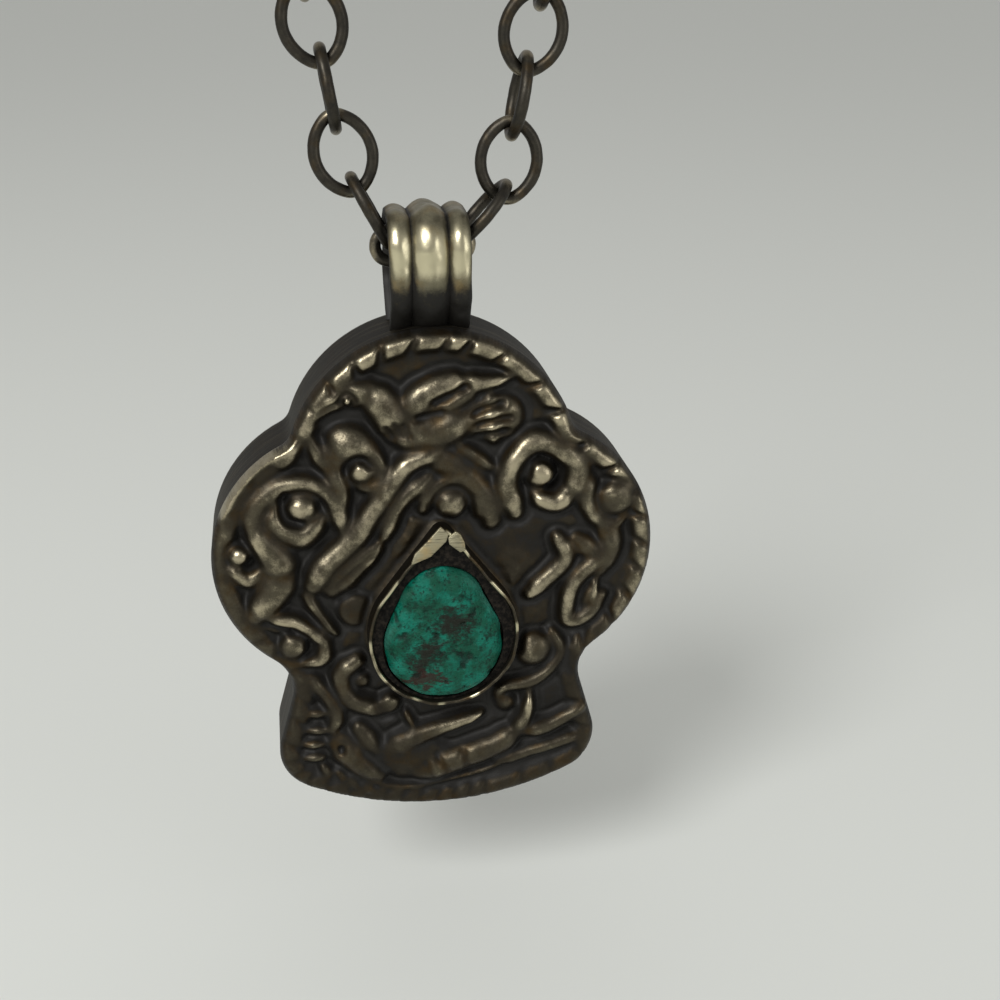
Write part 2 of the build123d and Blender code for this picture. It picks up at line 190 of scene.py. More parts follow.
# A stroke tapers over this stretch at its ends, to these shares of its width and height
STROKE_TAPER = (-0.6, 1.6)
STROKE_END_WIDTH = 0.72
STROKE_END_RISE = 0.6

# Powers that round a stroke's back and the rim's
STROKE_BACK = (2.2, 0.62)
RIM_BACK = (2.6, 0.7)

# Groove that the chasing tool left around each form: depth, width, in millimetres
GROOVE_DEPTH = 0.65
GROOVE_WIDTH = 0.62
BOSS_GROOVE = 0.8 * GROOVE_DEPTH

# Insets from the outline between which the ground swells
FIELD_SWELLS = (2.6, 8.0)

# Unevenness in layers, each with its height, the size of its features and its seed
GROUND_LAYERS = ((0.16, 2.6, 3), (0.06, 0.8, 4))
FACE_LAYERS = ((0.06, 1.2, 8), (0.03, 0.5, 10))
CRUMB_LAYERS = ((0.6, 0.55, 6), (0.5, 0.28, 7))
STONE_LUMPS = ((0.34, 3.6, 32), (0.2, 1.5, 33))
STONE_SPECKS = ((0.7, 1.15, 34), (0.6, 0.5, 35))
BEZEL_LAYERS = ((0.7, 3.4, 21), (0.3, 1.2, 22))
BAIL_DENTS = ((0.09, 1.7, 41), (0.05, 0.8, 42))
FACE_SHIFT = (40, 50)

# Tone of the face, from 0 for soot to 1 for rubbed metal: the ground's, then its change per
# millimetre above or below the ground and over the surroundings, the loss low on the face, which is painted
# shade, and the loss in soot
TONE_GROUND = 0.40
TONE_ABOVE = 0.12
TONE_BELOW = 0.6
TONE_OVER_NEAR = 0.8
PAINTED_SHADE_LOW = 0.2
TONE_SOOT = 0.24
LOW_ON_FACE = (0, 22)

# Patches left rough by the punch: across, up, radius, height
ROUGH = (
    (10, 1, 2, 0.35),
    (9.5, -1.5, 1.5, 0.3),
    (-2.5, 6, 2, 0.3),
    (-4, 3.5, 1.5, 0.3),
    (-20, -6.5, 1.5, 0.3),
    (12.5, -12, 2, 0.25),
)

# Places where soot has gathered: across, up, radius
SOOTY = (
    (12.5, 4, 3),
    (6, 3, 2),
    (18.5, -15, 3),
    (-5.5, -20.5, 2.5),
    (-17, 2, 2),
    (-14.5, -5, 2),
    (-11, -4, 1.5),
    (21.5, -11.5, 2),
    (4.5, 15, 1.5),
    (-6, 17, 1.5),
)

# Notched rim by bearing on the face: from, to (degrees), notch spacing, notch depth, height
RIM_ZONES = (
    (-40, 12, 4.2, 0.95, 1.3),
    (12, 84, 5.2, 1.1, 1.5),
    (84, 146, 4.2, 1.0, 1.4),
    (146, 200, 7.5, 0.2, 0.9),
    (200, 238, 3.2, 0.65, 1.0),
    (238, 258, 2.6, 0.6, 0.9),
    (258, 282, 2.4, 0.6, 0.9),
    (282, 320, 4.6, 0.55, 1.0),
)
RIM_BEARING_UP = 2.0
RIM_FIRST_BEARING = -40

# The rim's gouges: half width outside, gain inwards, waver, slant and the waver of their spacing
RIM_GOUGE = 0.2
RIM_GOUGE_GAIN = 0.65
RIM_GOUGE_WAVER = 0.5
RIM_SLANT = 0.55
RIM_DRIFT = 0.7
RIM_FLOOR = 0.1

# The front sheet's edge is rounded, starts this far behind its front and is turned back this far
EDGE_ROUND = 0.5
EDGE_BEHIND = 0.3
EDGE_TURNED = 0.4
OUTLINE_POINTS = 640

# Stone setting and stone on the face, in millimetres
SETTING_AT = (0.6, -8.4)
SETTING_RADIUS = 9.7
SETTING_TIP_RADIUS = 1.4
SETTING_TIP_RISE = 13.6
SEAT_MARGIN = 0.2
SEAT_UNDER = 0.05
MOAT_REACH = 1.3
MOAT_TOP = 0.55
STONE_AT = (0.5, -9.4)
STONE_RADIUS = 7.8
STONE_CROWN_RADIUS = 5.6
STONE_CROWN_RISE = 5.2
STONE_MIDDLE_UP = 1.2
STONE_SHOULDER = 0.62
STONE_RISE = 3.55
STONE_TOP = 3.79
STONE_MATRIX = ((1.7, -5.9, 2.6), (-1.5, -9.9, 2.2), (-2.8, -11.6, 1.6))
STONE_RED_AT = (-2.0, -13.7)
STONE_RED_REACH = (3.4, 1.9)

# Section of the bezel's strip, depth and rise: outer side, then inner side from the inner face
BEZEL_OUTER = (
    (0, 0.3), (0.02, 0.9), (0.03, 1.6), (0.02, 2.3), (0, 2.9), (-0.03, 3.3), (-0.12, 3.5), (-0.28, 3.56)
)
BEZEL_INNER = ((0.1, 3.48), (0, 3.25), (0, 2.7), (0, 2.2), (0, 1.3))
BEZEL_FOOT = 0.3

# The two leaves folded over the setting's tip: corners across and up, height, thickness, rounding
BEZEL_FLAPS = (
    ((0.3, 7), (1.3, 6), (1, 5), (0, 4), (-1, 3), (-3.5, 2), (-3, 3.5), (-1.5, 5)),
    ((2.2, 6.3), (2.8, 5.8), (3.3, 4.7), (3.4, 3.6), (2.7, 3.4), (2, 4), (1.3, 4.6), (1.2, 5.5)),
)
BEZEL_FLAP_TOP = 3.65
BEZEL_FLAP_THICK = 0.5
BEZEL_FLAP_ROUND = 0.13

# Bail: half width, ribs and valleys over the strip, bends, foot and pinch (depth and height), in millimetres
BAIL_HALF = 4.9
BAIL_RIB = 1.85
BAIL_SIDE_RIB = 1.33
BAIL_VALLEY = 0.62
BAIL_BEND = 3.2
BAIL_SUNK = 0.45
BAIL_FOOT = (-0.7, -2.0)
BAIL_PINCH = (-5.2, 4.2)
BAIL_MIDDLE_HALF = 2.2
BAIL_SIDE_AT = 3.58
BAIL_SIDE_HALF = 1.4
BAIL_EDGE = 0.3
BAIL_ROWS = 120
BOX_CROWN = 18.3

# Prayer scroll and its thread, in millimetres
SCROLL_RADIUS = 3.0
SCROLL_CORE = 0.9
SCROLL_PITCH = 0.6
PAPER_THICK = 0.16
PAPER_STEPS = 40
PAPER_ROWS = 30
THREAD_RADIUS = 0.15
THREAD_TURNS = 4
THREAD_STEP = 0.27
THREAD_FROM_END = 0.6

# Chain: how deep wear eats into the wire, in millimetres
CHAIN_WEAR = 0.045

# Place on the face that the camera looks at, across and up from its middle
CAMERA_AIM = (8.28, 8.63)
CAMERA_AIM_DEPTH = -0.005
SENSOR_WIDTH = 36

# Studio: floor under the box in metres, strength of the surround as light and as seen,
# and lamps with their place from the aim, size and power
FLOOR_DROP = 0.02
SURROUND_LIGHT = 0.56
SURROUND_SEEN = 0.42
LAMPS = {
    "key": ((-0.45, -0.55, 0.55), 0.35, 5.0),
    "fill": ((0.7, -0.6, 0.15), 0.5, 1.2),
}

# Plain colours of the stone's paler rim, rust and pits, of the lac and of the stage
RIM_TINT = (0.10, 0.22, 0.18)
RUST = (0.026, 0.006, 0.004)
PIT = (0.004, 0.012, 0.008)
LAC = (0.003, 0.0025, 0.002)
LAC_GRIT = (0.018, 0.014, 0.010)
FLOOR = (0.69, 0.705, 0.67)
SURROUND = (1.0, 1.0, 0.985)


class GhauFrontSettings(PropertyGroup):
    """Sizes of the chased front."""

    cell: FloatProperty(
        name="Cell", description="Spacing of the sheet's mesh", default=0.2 * MM, min=0.05 * MM, unit="LENGTH"
    )
    ground: FloatProperty(
        name="Ground", description="Ground's height over the sheet", default=0.35 * MM, min=0, unit="LENGTH"
    )
    pillow: FloatProperty(
        name="Pillow", description="How far the field swells", default=0.3 * MM, min=0, unit="LENGTH"
    )
    rim_at: FloatProperty(
        name="Rim inset", description="Rim's middle from the outline", default=1.45 * MM, min=0, unit="LENGTH"
    )
    rim_half: FloatProperty(
        name="Rim half", description="Half the rim's width", default=1.4 * MM, min=0.1 * MM, unit="LENGTH"
    )
    relief: FloatProperty(
        name="Relief", description="Scale of the raised work", default=1.0, min=0, max=2, subtype="FACTOR"
    )


class GhauStoneSettings(PropertyGroup):
    """Sizes of the stone and its setting."""

    wall: FloatProperty(
        name="Bezel wall", description="Thickness of the bezel's strip", default=0.55 * MM, unit="LENGTH"
    )
    waver: FloatProperty(
        name="Waver", description="Unevenness of the bezel's edge", default=0.22 * MM, min=0, unit="LENGTH"
    )
    pitting: FloatProperty(
        name="Pitting", description="Depth of the stone's pits", default=0.3 * MM, min=0, unit="LENGTH"
    )


class GhauFinishSettings(PropertyGroup):
    """Colours of the finishes."""

    silver: FloatVectorProperty(
        name="Worn metal", description="Metal rubbed bright", subtype="COLOR", default=(0.18, 0.157, 0.108)
    )
    patina: FloatVectorProperty(
        name="Patina", description="Darkened metal", subtype="COLOR", default=(0.052, 0.044, 0.032)
    )
    soot: FloatVectorProperty(
        name="Recess", description="Blackened recesses", subtype="COLOR", default=(0.008, 0.0068, 0.005)
    )
    bail: FloatVectorProperty(
        name="Bail", description="Polished bail", subtype="COLOR", default=(0.56, 0.51, 0.345)
    )
    wire: FloatVectorProperty(
        name="Chain", description="Oxidised chain wire", subtype="COLOR", default=(0.062, 0.056, 0.045)
    )
    wire_worn: FloatVectorProperty(
        name="Chain rubbed", description="Wire where it rubs", subtype="COLOR", default=(0.36, 0.31, 0.215)
    )
    stone: FloatVectorProperty(
        name="Turquoise", description="Body of the stone", subtype="COLOR", default=(0.0005, 0.062, 0.034)
    )
    stone_pale: FloatVectorProperty(
        name="Turquoise pale", description="Paler patches", subtype="COLOR", default=(0.001, 0.140, 0.094)
    )
    matrix: FloatVectorProperty(
        name="Matrix", description="Brown matrix", subtype="COLOR", default=(0.009, 0.0075, 0.004)
    )
    paper: FloatVectorProperty(
        name="Paper", description="Aged handmade paper", subtype="COLOR", default=(0.62, 0.50, 0.32)
    )
    thread: FloatVectorProperty(
        name="Thread", description="Wound cotton thread", subtype="COLOR", default=(0.36, 0.045, 0.04)
    )


class GhauStageSettings(PropertyGroup):
    """Place and lens of the camera."""

    azimuth: FloatProperty(
        name="Azimuth", description="Camera right of the front", default=math.radians(-8.63), subtype="ANGLE"
    )
    elevation: FloatProperty(
        name="Elevation", description="Camera above level", default=math.radians(21.36), subtype="ANGLE"
    )
    distance: FloatProperty(name="Distance", description="Camera to the face", default=0.18625, unit="LENGTH")
    lens: FloatProperty(
        name="Lens", description="Focal length on a 36 mm sensor", default=53.19, subtype="DISTANCE_CAMERA"
    )


# Shape helpers


def dapple(u, v, size, seed):
    """Smooth value noise from -1 to 1, with features about as large as size."""
    lattice = np.random.default_rng(seed).uniform(-1, 1, (64, 64))
    u, v = np.asarray(u) / size, np.asarray(v) / size
    i, j = np.floor(u).astype(int), np.floor(v).astype(int)
    f, g = u - i, v - j
    f, g = f * f * (3 - 2 * f), g * g * (3 - 2 * g)
    i, j = i % 64, j % 64
    k, m = (i + 1) % 64, (j + 1) % 64
    low = lattice[i, j] * (1 - f) + lattice[k, j] * f
    high = lattice[i, m] * (1 - f) + lattice[k, m] * f
    return low * (1 - g) + high * g


def dappled(x, z, shift, layers):
    """Noise in layers, each with a height, a size and a seed, over places moved by a shift."""
    return sum(height * dapple(x + shift[0], z + shift[1], size, seed) for height, size, seed in layers)


def ramp(value, start, end):
    """Eased rise from 0 at start to 1 at end."""
    t = np.clip((value - start) / (end - start), 0, 1)
    return t * t * (3 - 2 * t)


def distances(line):
    """Distance of each point of a line from its start."""
    return np.concatenate([[0], np.cumsum(np.hypot(*np.diff(line, axis=0).T))])


def places_along(line, at):
    """Places on a line at distances from its start."""
    lengths = distances(line)
    return np.column_stack([np.interp(at, lengths, line[:, k]) for k in (0, 1)])


def eased_line(points, steps=6):
    """Rounds a run of points into a smooth line."""
    p = np.asarray(points, float)
    if len(p) < 3:
        return p
    p = np.vstack([2 * p[0] - p[1], p, 2 * p[-1] - p[-2]])
    t = np.linspace(0, 1, steps, endpoint=False)[:, None]
    runs = []
    for a, b, c, d in zip(p, p[1:], p[2:], p[3:]):
        runs.append(
            0.5 * (2 * b + (c - a) * t + (2 * a - 5 * b + 4 * c - d) * t**2 + (3 * b - a - 3 * c + d) * t**3)
        )
    return np.vstack(runs + [p[-2:-1]])


def reach(x, z, line):
    """Distance of points to a line, and how far along it the nearest place is, from 0 to 1."""
    best = np.full(x.shape, 1e9)
    where = np.zeros(x.shape)
    lengths = np.hypot(*(line[1:] - line[:-1]).T)
    total = lengths.sum()
    done = 0.0
    for a, b, length in zip(line, line[1:], lengths):
        if length < 1e-9:
            continue
        d = (b - a) / length
        t = np.clip((x - a[0]) * d[0] + (z - a[1]) * d[1], 0, length)
        gap = np.hypot(x - a[0] - t * d[0], z - a[1] - t * d[1])
        nearer = gap < best
        best = np.where(nearer, gap, best)
        where = np.where(nearer, (done + t) / total, where)
        done += length
    return best, where


def blur(field, cells):
    """Box-averages a grid three times, which is close to a soft round brush."""
    count = 2 * cells + 1
    for axis in (0, 1) * 3:
        margins = [(0, 0), (0, 0)]
        margins[axis] = (cells + 1, cells)
        wide = np.cumsum(np.pad(field, margins, mode="edge"), axis)
        upper = np.take(wide, range(count, wide.shape[axis]), axis)
        lower = np.take(wide, range(0, wide.shape[axis] - count), axis)
        field = (upper - lower) / count
    return field


def egg_line(radius, crown_radius, crown_rise, count):
    """Points of a round body drawn out to a smaller round crown above it."""
    level = math.asin((radius - crown_radius) / crown_rise)
    body = np.linspace(math.pi - level, 2 * math.pi + level, 400)
    crown = np.linspace(level, math.pi - level, 160)
    line = np.vstack([
        np.column_stack([radius * np.cos(body), radius * np.sin(body)]),
        np.column_stack([crown_radius * np.cos(crown), crown_rise + crown_radius * np.sin(crown)]),
    ])
    line = np.vstack([line, line[:1]])
    return places_along(line, np.linspace(0, distances(line)[-1], count, endpoint=False))


def cover_outline():
    """The box's outline in millimetres on the face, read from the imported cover's back edge."""
    mesh = bmesh.new()
    mesh.from_mesh(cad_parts["front_cover"].data)
    bmesh.ops.remove_doubles(mesh, verts=mesh.verts, dist=1e-6)
    flat = [f for f in mesh.faces if all(abs(v.co.y - WALL_FRONT) < 1e-6 for v in f.verts)]
    known = set(flat)
    steps = {}
    for f in flat:
        for loop in f.loops:
            if not any(other in known for other in loop.edge.link_faces if other is not f):
                steps[loop.vert] = loop.link_loop_next.vert
    loops = []
    while steps:
        first = next(iter(steps))
        run = [first]
        while steps.get(run[-1]) is not None:
            run.append(steps.pop(run[-1]))
            if run[-1] is first:
                break
        loops.append(np.array([(v.co.x, v.co.z - FACE_Z) for v in run]) / MM)
    mesh.free()
    outline = max(loops, key=lambda p: np.ptp(p[:, 0]))
    return places_along(outline, np.linspace(0, distances(outline)[-1], OUTLINE_POINTS))


def enclosed(x, z, line):
    """True for points inside a closed line."""
    inside = np.zeros(x.shape, bool)
    for (ax, az), (bx, bz) in zip(line, line[1:]):
        if az == bz:
            continue
        crosses = (az > z) != (bz > z)
        inside ^= crosses & (x < (bx - ax) * (z - az) / (bz - az) + ax)
    return inside


def pads(places, pad):
    """Short strokes, one from each place."""
    start, end, rise, step = pad
    return [(start, end, rise, (place, (place[0] + step[0], place[1] + step[1]))) for place in places]


def stroke_fields(x, z, strokes):
    """For each stroke: the points near it, their gap from its middle, its half width and its rise there."""
    fields = []
    for start, end, rise, points in strokes:
        line = eased_line(points)
        wide = max(start, end) + 2.5 * GROOVE_WIDTH
        low, high = line.min(0) - wide, line.max(0) + wide
        near = np.flatnonzero((x >= low[0]) & (x <= high[0]) & (z >= low[1]) & (z <= high[1]))
        gap, along = reach(x[near], z[near], line)
        inner = ramp(np.minimum(along, 1 - along) * distances(line)[-1], *STROKE_TAPER)
        half = (start + (end - start) * along) * (STROKE_END_WIDTH + (1 - STROKE_END_WIDTH) * inner)
        fields.append((near, gap, half, rise * (STROKE_END_RISE + (1 - STROKE_END_RISE) * inner)))
    return fields


def grooved(gap):
    """Share of a groove's depth at a gap from a form's foot."""
    return np.exp(-((np.clip(gap, 0, None) / GROOVE_WIDTH) ** 2))


def raise_strokes(ground, fields, scale):
    """Lays raised strokes over the ground, each with a rounded back and a groove around its foot."""
    groove = np.zeros_like(ground)
    for near, gap, half, _ in fields:
        groove[near] = np.maximum(groove[near], grooved(gap - half))
    height = ground - GROOVE_DEPTH * groove
    for near, gap, half, rise in fields:
        back = np.clip(1 - (gap / half) ** STROKE_BACK[0], 0, 1) ** STROKE_BACK[1]
        over = ground[near] - GROOVE_DEPTH + (GROOVE_DEPTH + rise * scale) * back
        over = np.where(back > 0, over, -np.inf)
        under = height[near]
        melted = np.clip(MELT - np.abs(over - under), 0, MELT) ** 2 / (4 * MELT)
        height[near] = np.maximum(over, under) + melted
    return height


def lay_rim(height, x, z, inset, along, front):
    """Lays the notched rim over the face."""
    bearing = np.degrees(np.arctan2(z - RIM_BEARING_UP, x))
    bearing = np.where(bearing < RIM_FIRST_BEARING, bearing + 360, bearing)
    share = np.abs((inset * MM - front.rim_at) / front.rim_half)
    profile = np.clip(1 - share ** RIM_BACK[0], 0, 1) ** RIM_BACK[1]
    gouge = RIM_GOUGE + RIM_GOUGE_GAIN * ramp(inset, 0.2, 2.6)
    gouge = gouge * (1 + RIM_GOUGE_WAVER * dapple(x + 70, z + 70, 3.1, 9))
    slant = along + RIM_SLANT * inset + RIM_DRIFT * dapple(x + 90, z + 90, 4.1, 5)
    for start, end, spacing, depth, rise in RIM_ZONES:
        phase = slant / spacing
        notch = np.abs(phase - np.round(phase)) * spacing
        pad = 1 - depth * np.clip(1 - notch / gouge, 0, 1) - 0.1 * (notch / spacing) ** 2
        zone = (bearing >= start) & (bearing < end) & (profile > 0)
        height = np.where(zone, np.maximum(height, RIM_FLOOR + rise * profile * pad), height)
    return height


def sink_seat(height, x, z):
    """Sinks the seat of the stone's setting into the face, with a moat around it."""
    seat = egg_line(SETTING_RADIUS, SETTING_TIP_RADIUS, SETTING_TIP_RISE, 90) + SETTING_AT
    seat = np.vstack([seat, seat[:1]])
    gap, _ = reach(x, z, seat)
    gap = np.where(enclosed(x, z, seat), -gap, gap)
    moat = 1 - ramp(gap, SEAT_MARGIN, MOAT_REACH)
    lowered = height * (1 - moat) + np.minimum(height, MOAT_TOP) * moat
    return np.where(gap < SEAT_MARGIN, SEAT_LEVEL - SEAT_UNDER, lowered)


def chased_height(x, z, inset, along, front):
    """Height of the chased front over its sheet and of the ground under its forms, in millimetres."""
    ground = (front.ground + front.pillow * ramp(inset, *FIELD_SWELLS)) / MM
    ground = ground + dappled(x, z, FACE_SHIFT, GROUND_LAYERS)
    strokes = [*BIRD.values(), *CLOUDS.values(), *ROOTS.values()]
    strokes += pads(EDGE_PADS, EDGE_PAD) + pads(CORNER_PADS, CORNER_PAD)
    height = raise_strokes(ground, stroke_fields(x, z, strokes), front.relief)
    height = lay_rim(height, x, z, inset, along, front)
    for across, up, radius, rise in BOSSES.values():
        gap = np.hypot(x - across, z - up)
        dome = ground + rise * front.relief * np.sqrt(np.clip(1 - (gap / radius) ** 2, 0, 1))
        sunk = height - BOSS_GROOVE * grooved(gap - radius)
        height = np.where(gap < radius, np.maximum(height - GROOVE_DEPTH, dome), sunk)
    for across, up, radius, rise in ROUGH:
        patch = 1 - ramp(np.hypot(x - across, z - up), radius * 0.4, radius * 1.3)
        height = height + patch * rise * (0.9 + dappled(x, z, (60, 60), CRUMB_LAYERS))
    for half, depth, points in CUTS.values():
        gap, _ = reach(x, z, eased_line(points))
        height = height - depth * np.clip(1 - (gap / half) ** 2, 0, 1)
    height = sink_seat(height + dappled(x, z, FACE_SHIFT, FACE_LAYERS), x, z)
    return height - EDGE_ROUND * np.clip(1 - inset / EDGE_ROUND, 0, 1) ** 2, ground


def face_tone(x, z, above, over_near):
    """Tone of the face from its height over the ground and over its surroundings, with painted shade low on
    the face.
    """
    tone = TONE_GROUND + np.where(above > 0, TONE_ABOVE, TONE_BELOW) * above + TONE_OVER_NEAR * over_near
    # Painted shade: the face darkens towards its bottom, where less light falls
    tone = tone - PAINTED_SHADE_LOW * ramp(-z, *LOW_ON_FACE)
    for across, up, radius in SOOTY:
        tone = tone - TONE_SOOT * np.exp(-((np.hypot(x - across, z - up) / radius) ** 2))
    return np.clip(tone, 0, 1)


# Mesh helpers


def start_piece():
    """Leaves edit mode and deselects everything, so that the next operator acts on its own piece only."""
    if bpy.context.object is not None and bpy.context.object.mode != "OBJECT":
        bpy.ops.object.mode_set(mode="OBJECT")
    bpy.ops.object.select_all(action="DESELECT")


def choose(piece):
    """Selects one piece alone and makes it active."""
    bpy.ops.object.select_all(action="DESELECT")
    bpy.context.view_layer.objects.active = piece
    piece.select_set(True)


def finish_piece(piece, name, body, material, replaced=(), angle=60.0):
    """Names a piece, puts its place in its mesh, smooths it and hands it to its body."""
    piece.name = name
    piece.data.name = name
    choose(piece)
    bpy.ops.object.transform_apply(location=True, rotation=True, scale=True)
    bpy.ops.object.shade_smooth_by_angle(angle=math.radians(angle))
    piece.data.materials.clear()
    piece.data.materials.append(material)
    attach(piece, body)
    if replaced:
        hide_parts(*replaced)
    piece.select_set(False)


def apply_modifier(piece, kind, **values):
    """Adds a modifier, sets it and applies it."""
    choose(piece)
    modifier = piece.modifiers.new(kind.title(), kind)
    for key, value in values.items():
        setattr(modifier, key, value)
    bpy.ops.object.modifier_apply(modifier=modifier.name)


def outward(piece):
    """Merges doubles and turns all faces out."""
    mesh = bmesh.new()
    mesh.from_mesh(piece.data)
    bmesh.ops.remove_doubles(mesh, verts=mesh.verts, dist=1e-7)
    bmesh.ops.recalc_face_normals(mesh, faces=mesh.faces)
    mesh.to_mesh(piece.data)
    mesh.free()
    piece.data.update()


def face_points(x, z, proud):
    """Points in metres from places on the face and a height over the sheet, in millimetres."""
    return np.column_stack([x * MM, SHEET_FRONT - np.asarray(proud) * MM + 0 * x, FACE_Z + z * MM])


# Finish helpers


def node(tree, kind, values=None, **settings):
    """Adds a shader node, sets its fields, and sets or links its sockets."""
    made = tree.nodes.new("ShaderNode" + kind)
    for key, value in settings.items():
        setattr(made, key, value)
    for key, value in (values or {}).items():
        join(tree, value, made.inputs[key])
    return made


def join(tree, value, socket):
    """Links a socket to an input, or sets the input to a plain value."""
    if isinstance(value, bpy.types.NodeSocket):
        tree.links.new(value, socket)
    else:
        socket.default_value = value


def blended(tree, factor, first, second):
    """Colour between two colours, each a socket or a plain colour."""
    made = node(tree, "Mix", data_type="RGBA")
    join(tree, factor, made.inputs[0])
    for place, value in ((6, first), (7, second)):
        join(tree, value if isinstance(value, bpy.types.NodeSocket) else (*value, 1.0), made.inputs[place])
    return made.outputs[2]


def ranged(tree, value, low, high, to_low=0.0, to_high=1.0):
    """Value eased from one range to another."""
    ends = {"Value": value, "From Min": low, "From Max": high, "To Min": to_low, "To Max": to_high}
    return node(tree, "MapRange", ends, interpolation_type="SMOOTHSTEP").outputs["Result"]


def reckon(tree, operation, first, second=0.5, third=0.5):
    """Sum on one to three values."""
    made = node(tree, "Math", operation=operation)
    for place, value in enumerate((first, second, third)):
        join(tree, value, made.inputs[place])
    return made.outputs[0]


def speckle(tree, vector, scale, detail=3.0, roughness=0.55):
    """Noise value over a vector."""
    values = {"Vector": vector, "Scale": scale, "Detail": detail, "Roughness": roughness}
    return node(tree, "TexNoise", values).outputs["Fac"]


def stretched(tree, vector, factors):
    """Vector stretched along its axes."""
    return node(tree, "VectorMath", {0: vector, 1: factors}, operation="MULTIPLY").outputs[0]


def object_place(tree):
    """Place on the object, in metres."""
    return node(tree, "TexCoord").outputs["Object"]


def stored(tree, name):
    """Number that a piece's points hold under a name."""
    return node(tree, "Attribute", attribute_name=name).outputs["Fac"]


def shared_group(name, inputs, outputs):
    """Empty shader group with named sockets."""
    group = bpy.data.node_groups.new(name, "ShaderNodeTree")
    for label, default in inputs:
        socket = group.interface.new_socket(name=label, in_out="INPUT", socket_type="NodeSocketFloat")
        socket.default_value = default
    for label in outputs:
        group.interface.new_socket(name=label, in_out="OUTPUT", socket_type="NodeSocketFloat")
    return group, group.nodes.new("NodeGroupInput").outputs, group.nodes.new("NodeGroupOutput").inputs


def aged_metal_group():
    """How far metal is rubbed bright, how warm it has turned, and its small dents."""
    if "aged_metal" in bpy.data.node_groups:
        return bpy.data.node_groups["aged_metal"]
    group, taken, given = shared_group(
        "aged_metal", (("Relief", 0.5), ("Blotch", 0.3), ("Grain", 1.0)), ("Tone", "Warmth", "Height")
    )
    place = object_place(group)
    broad = speckle(group, place, 230.0, 2.0)
    close = speckle(group, place, 1150.0, 4.0, 0.6)
    fine = speckle(group, place, 5200.0, 2.0)
    uneven = reckon(group, "MULTIPLY_ADD", close, 0.5, reckon(group, "MULTIPLY", broad, 0.25))
    uneven = reckon(group, "SUBTRACT", reckon(group, "MULTIPLY_ADD", fine, 0.25, uneven), 0.5)
    tone = reckon(group, "MULTIPLY_ADD", uneven, taken["Blotch"], taken["Relief"])
    group.links.new(reckon(group, "MAXIMUM", reckon(group, "MINIMUM", tone, 1.0), 0.0), given["Tone"])
    group.links.new(ranged(group, speckle(group, place, 330.0, 3.0), 0.45, 0.72), given["Warmth"])
    dents = reckon(group, "MULTIPLY_ADD", close, 0.55, reckon(group, "MULTIPLY", fine, 0.25))
    group.links.new(reckon(group, "MULTIPLY", dents, taken["Grain"]), given["Height"])
    return group


def file_marks_group():
    """Fine parallel scratches: along one axis, which the caller's stretch picks."""
    if "file_marks" in bpy.data.node_groups:
        return bpy.data.node_groups["file_marks"]
    group, taken, given = shared_group(
        "file_marks", (("Along X", 1.0), ("Along Y", 1.0), ("Along Z", 1.0)), ("Marks",)
    )
    factors = node(group, "CombineXYZ", {"X": taken["Along X"], "Y": taken["Along Y"], "Z": taken["Along Z"]})
    place = stretched(group, object_place(group), factors.outputs[0])
    coarse = speckle(group, place, 1.0, 3.0)
    fine = reckon(group, "MULTIPLY", speckle(group, place, 3.3, 2.0), 0.4)
    group.links.new(reckon(group, "MULTIPLY_ADD", coarse, 0.6, fine), given["Marks"])
    return group


def new_material(name):
    """Material with one Principled shader."""
    material = bpy.data.materials.new(name)
    material.use_nodes = True
    tree = material.node_tree
    return material, tree, tree.nodes["Principled BSDF"]


def scaled(colour, factors):
    """Colour times one factor, or times one for each channel."""
    return tuple(float(c) for c in np.multiply(colour, factors))


def surface(tree, shader, colour, roughness, height, strength, depth):
    """Gives a shader its colour, its roughness and bumps of a depth in millimetres."""
    join(tree, colour, shader.inputs["Base Color"])
    join(tree, roughness, shader.inputs["Roughness"])
    bumped = node(tree, "Bump", {"Height": height, "Strength": strength, "Distance": depth * MM})
    join(tree, bumped.outputs["Normal"], shader.inputs["Normal"])


def metal_finish(name, colours, tone, blotch, grain, rough, marks=None, bump=0.25, worn=None):
    """Antiqued white metal: black in the recesses, brown-grey between, rubbed bright on top."""
    material, tree, shader = new_material(name)
    bright, patina, soot = colours
    relief = stored(tree, tone) if isinstance(tone, str) else tone
    aged = node(tree, "Group", node_tree=aged_metal_group())
    for key, value in (("Relief", relief), ("Blotch", blotch), ("Grain", grain)):
        join(tree, value, aged.inputs[key])
    shown = aged.outputs["Tone"]
    colour = blended(tree, aged.outputs["Warmth"], patina, scaled(patina, (1.22, 1.0, 0.72)))
    colour = blended(tree, ranged(tree, shown, 0.12, 0.45), soot, colour)
    colour = blended(tree, ranged(tree, shown, 0.45, 0.92), colour, bright)
    if worn is not None:
        colour = blended(tree, ranged(tree, shown, 0.74, 1.0), colour, worn)
    height = aged.outputs["Height"]
    if marks is not None:
        along = dict(zip(("Along X", "Along Y", "Along Z"), marks))
        scratched = node(tree, "Group", along, node_tree=file_marks_group()).outputs["Marks"]
        colour = blended(tree, ranged(tree, scratched, 0.5, 0.64, 0.0, 0.75), colour, bright)
        height = reckon(tree, "MULTIPLY_ADD", scratched, 1.2, reckon(tree, "MULTIPLY", height, 0.5))
    surface(tree, shader, colour, ranged(tree, shown, 0.1, 0.9, *rough), height, bump, 0.12)
    join(tree, ranged(tree, shown, 0.05, 0.4, 0.35, 1.0), shader.inputs["Metallic"])
    return material


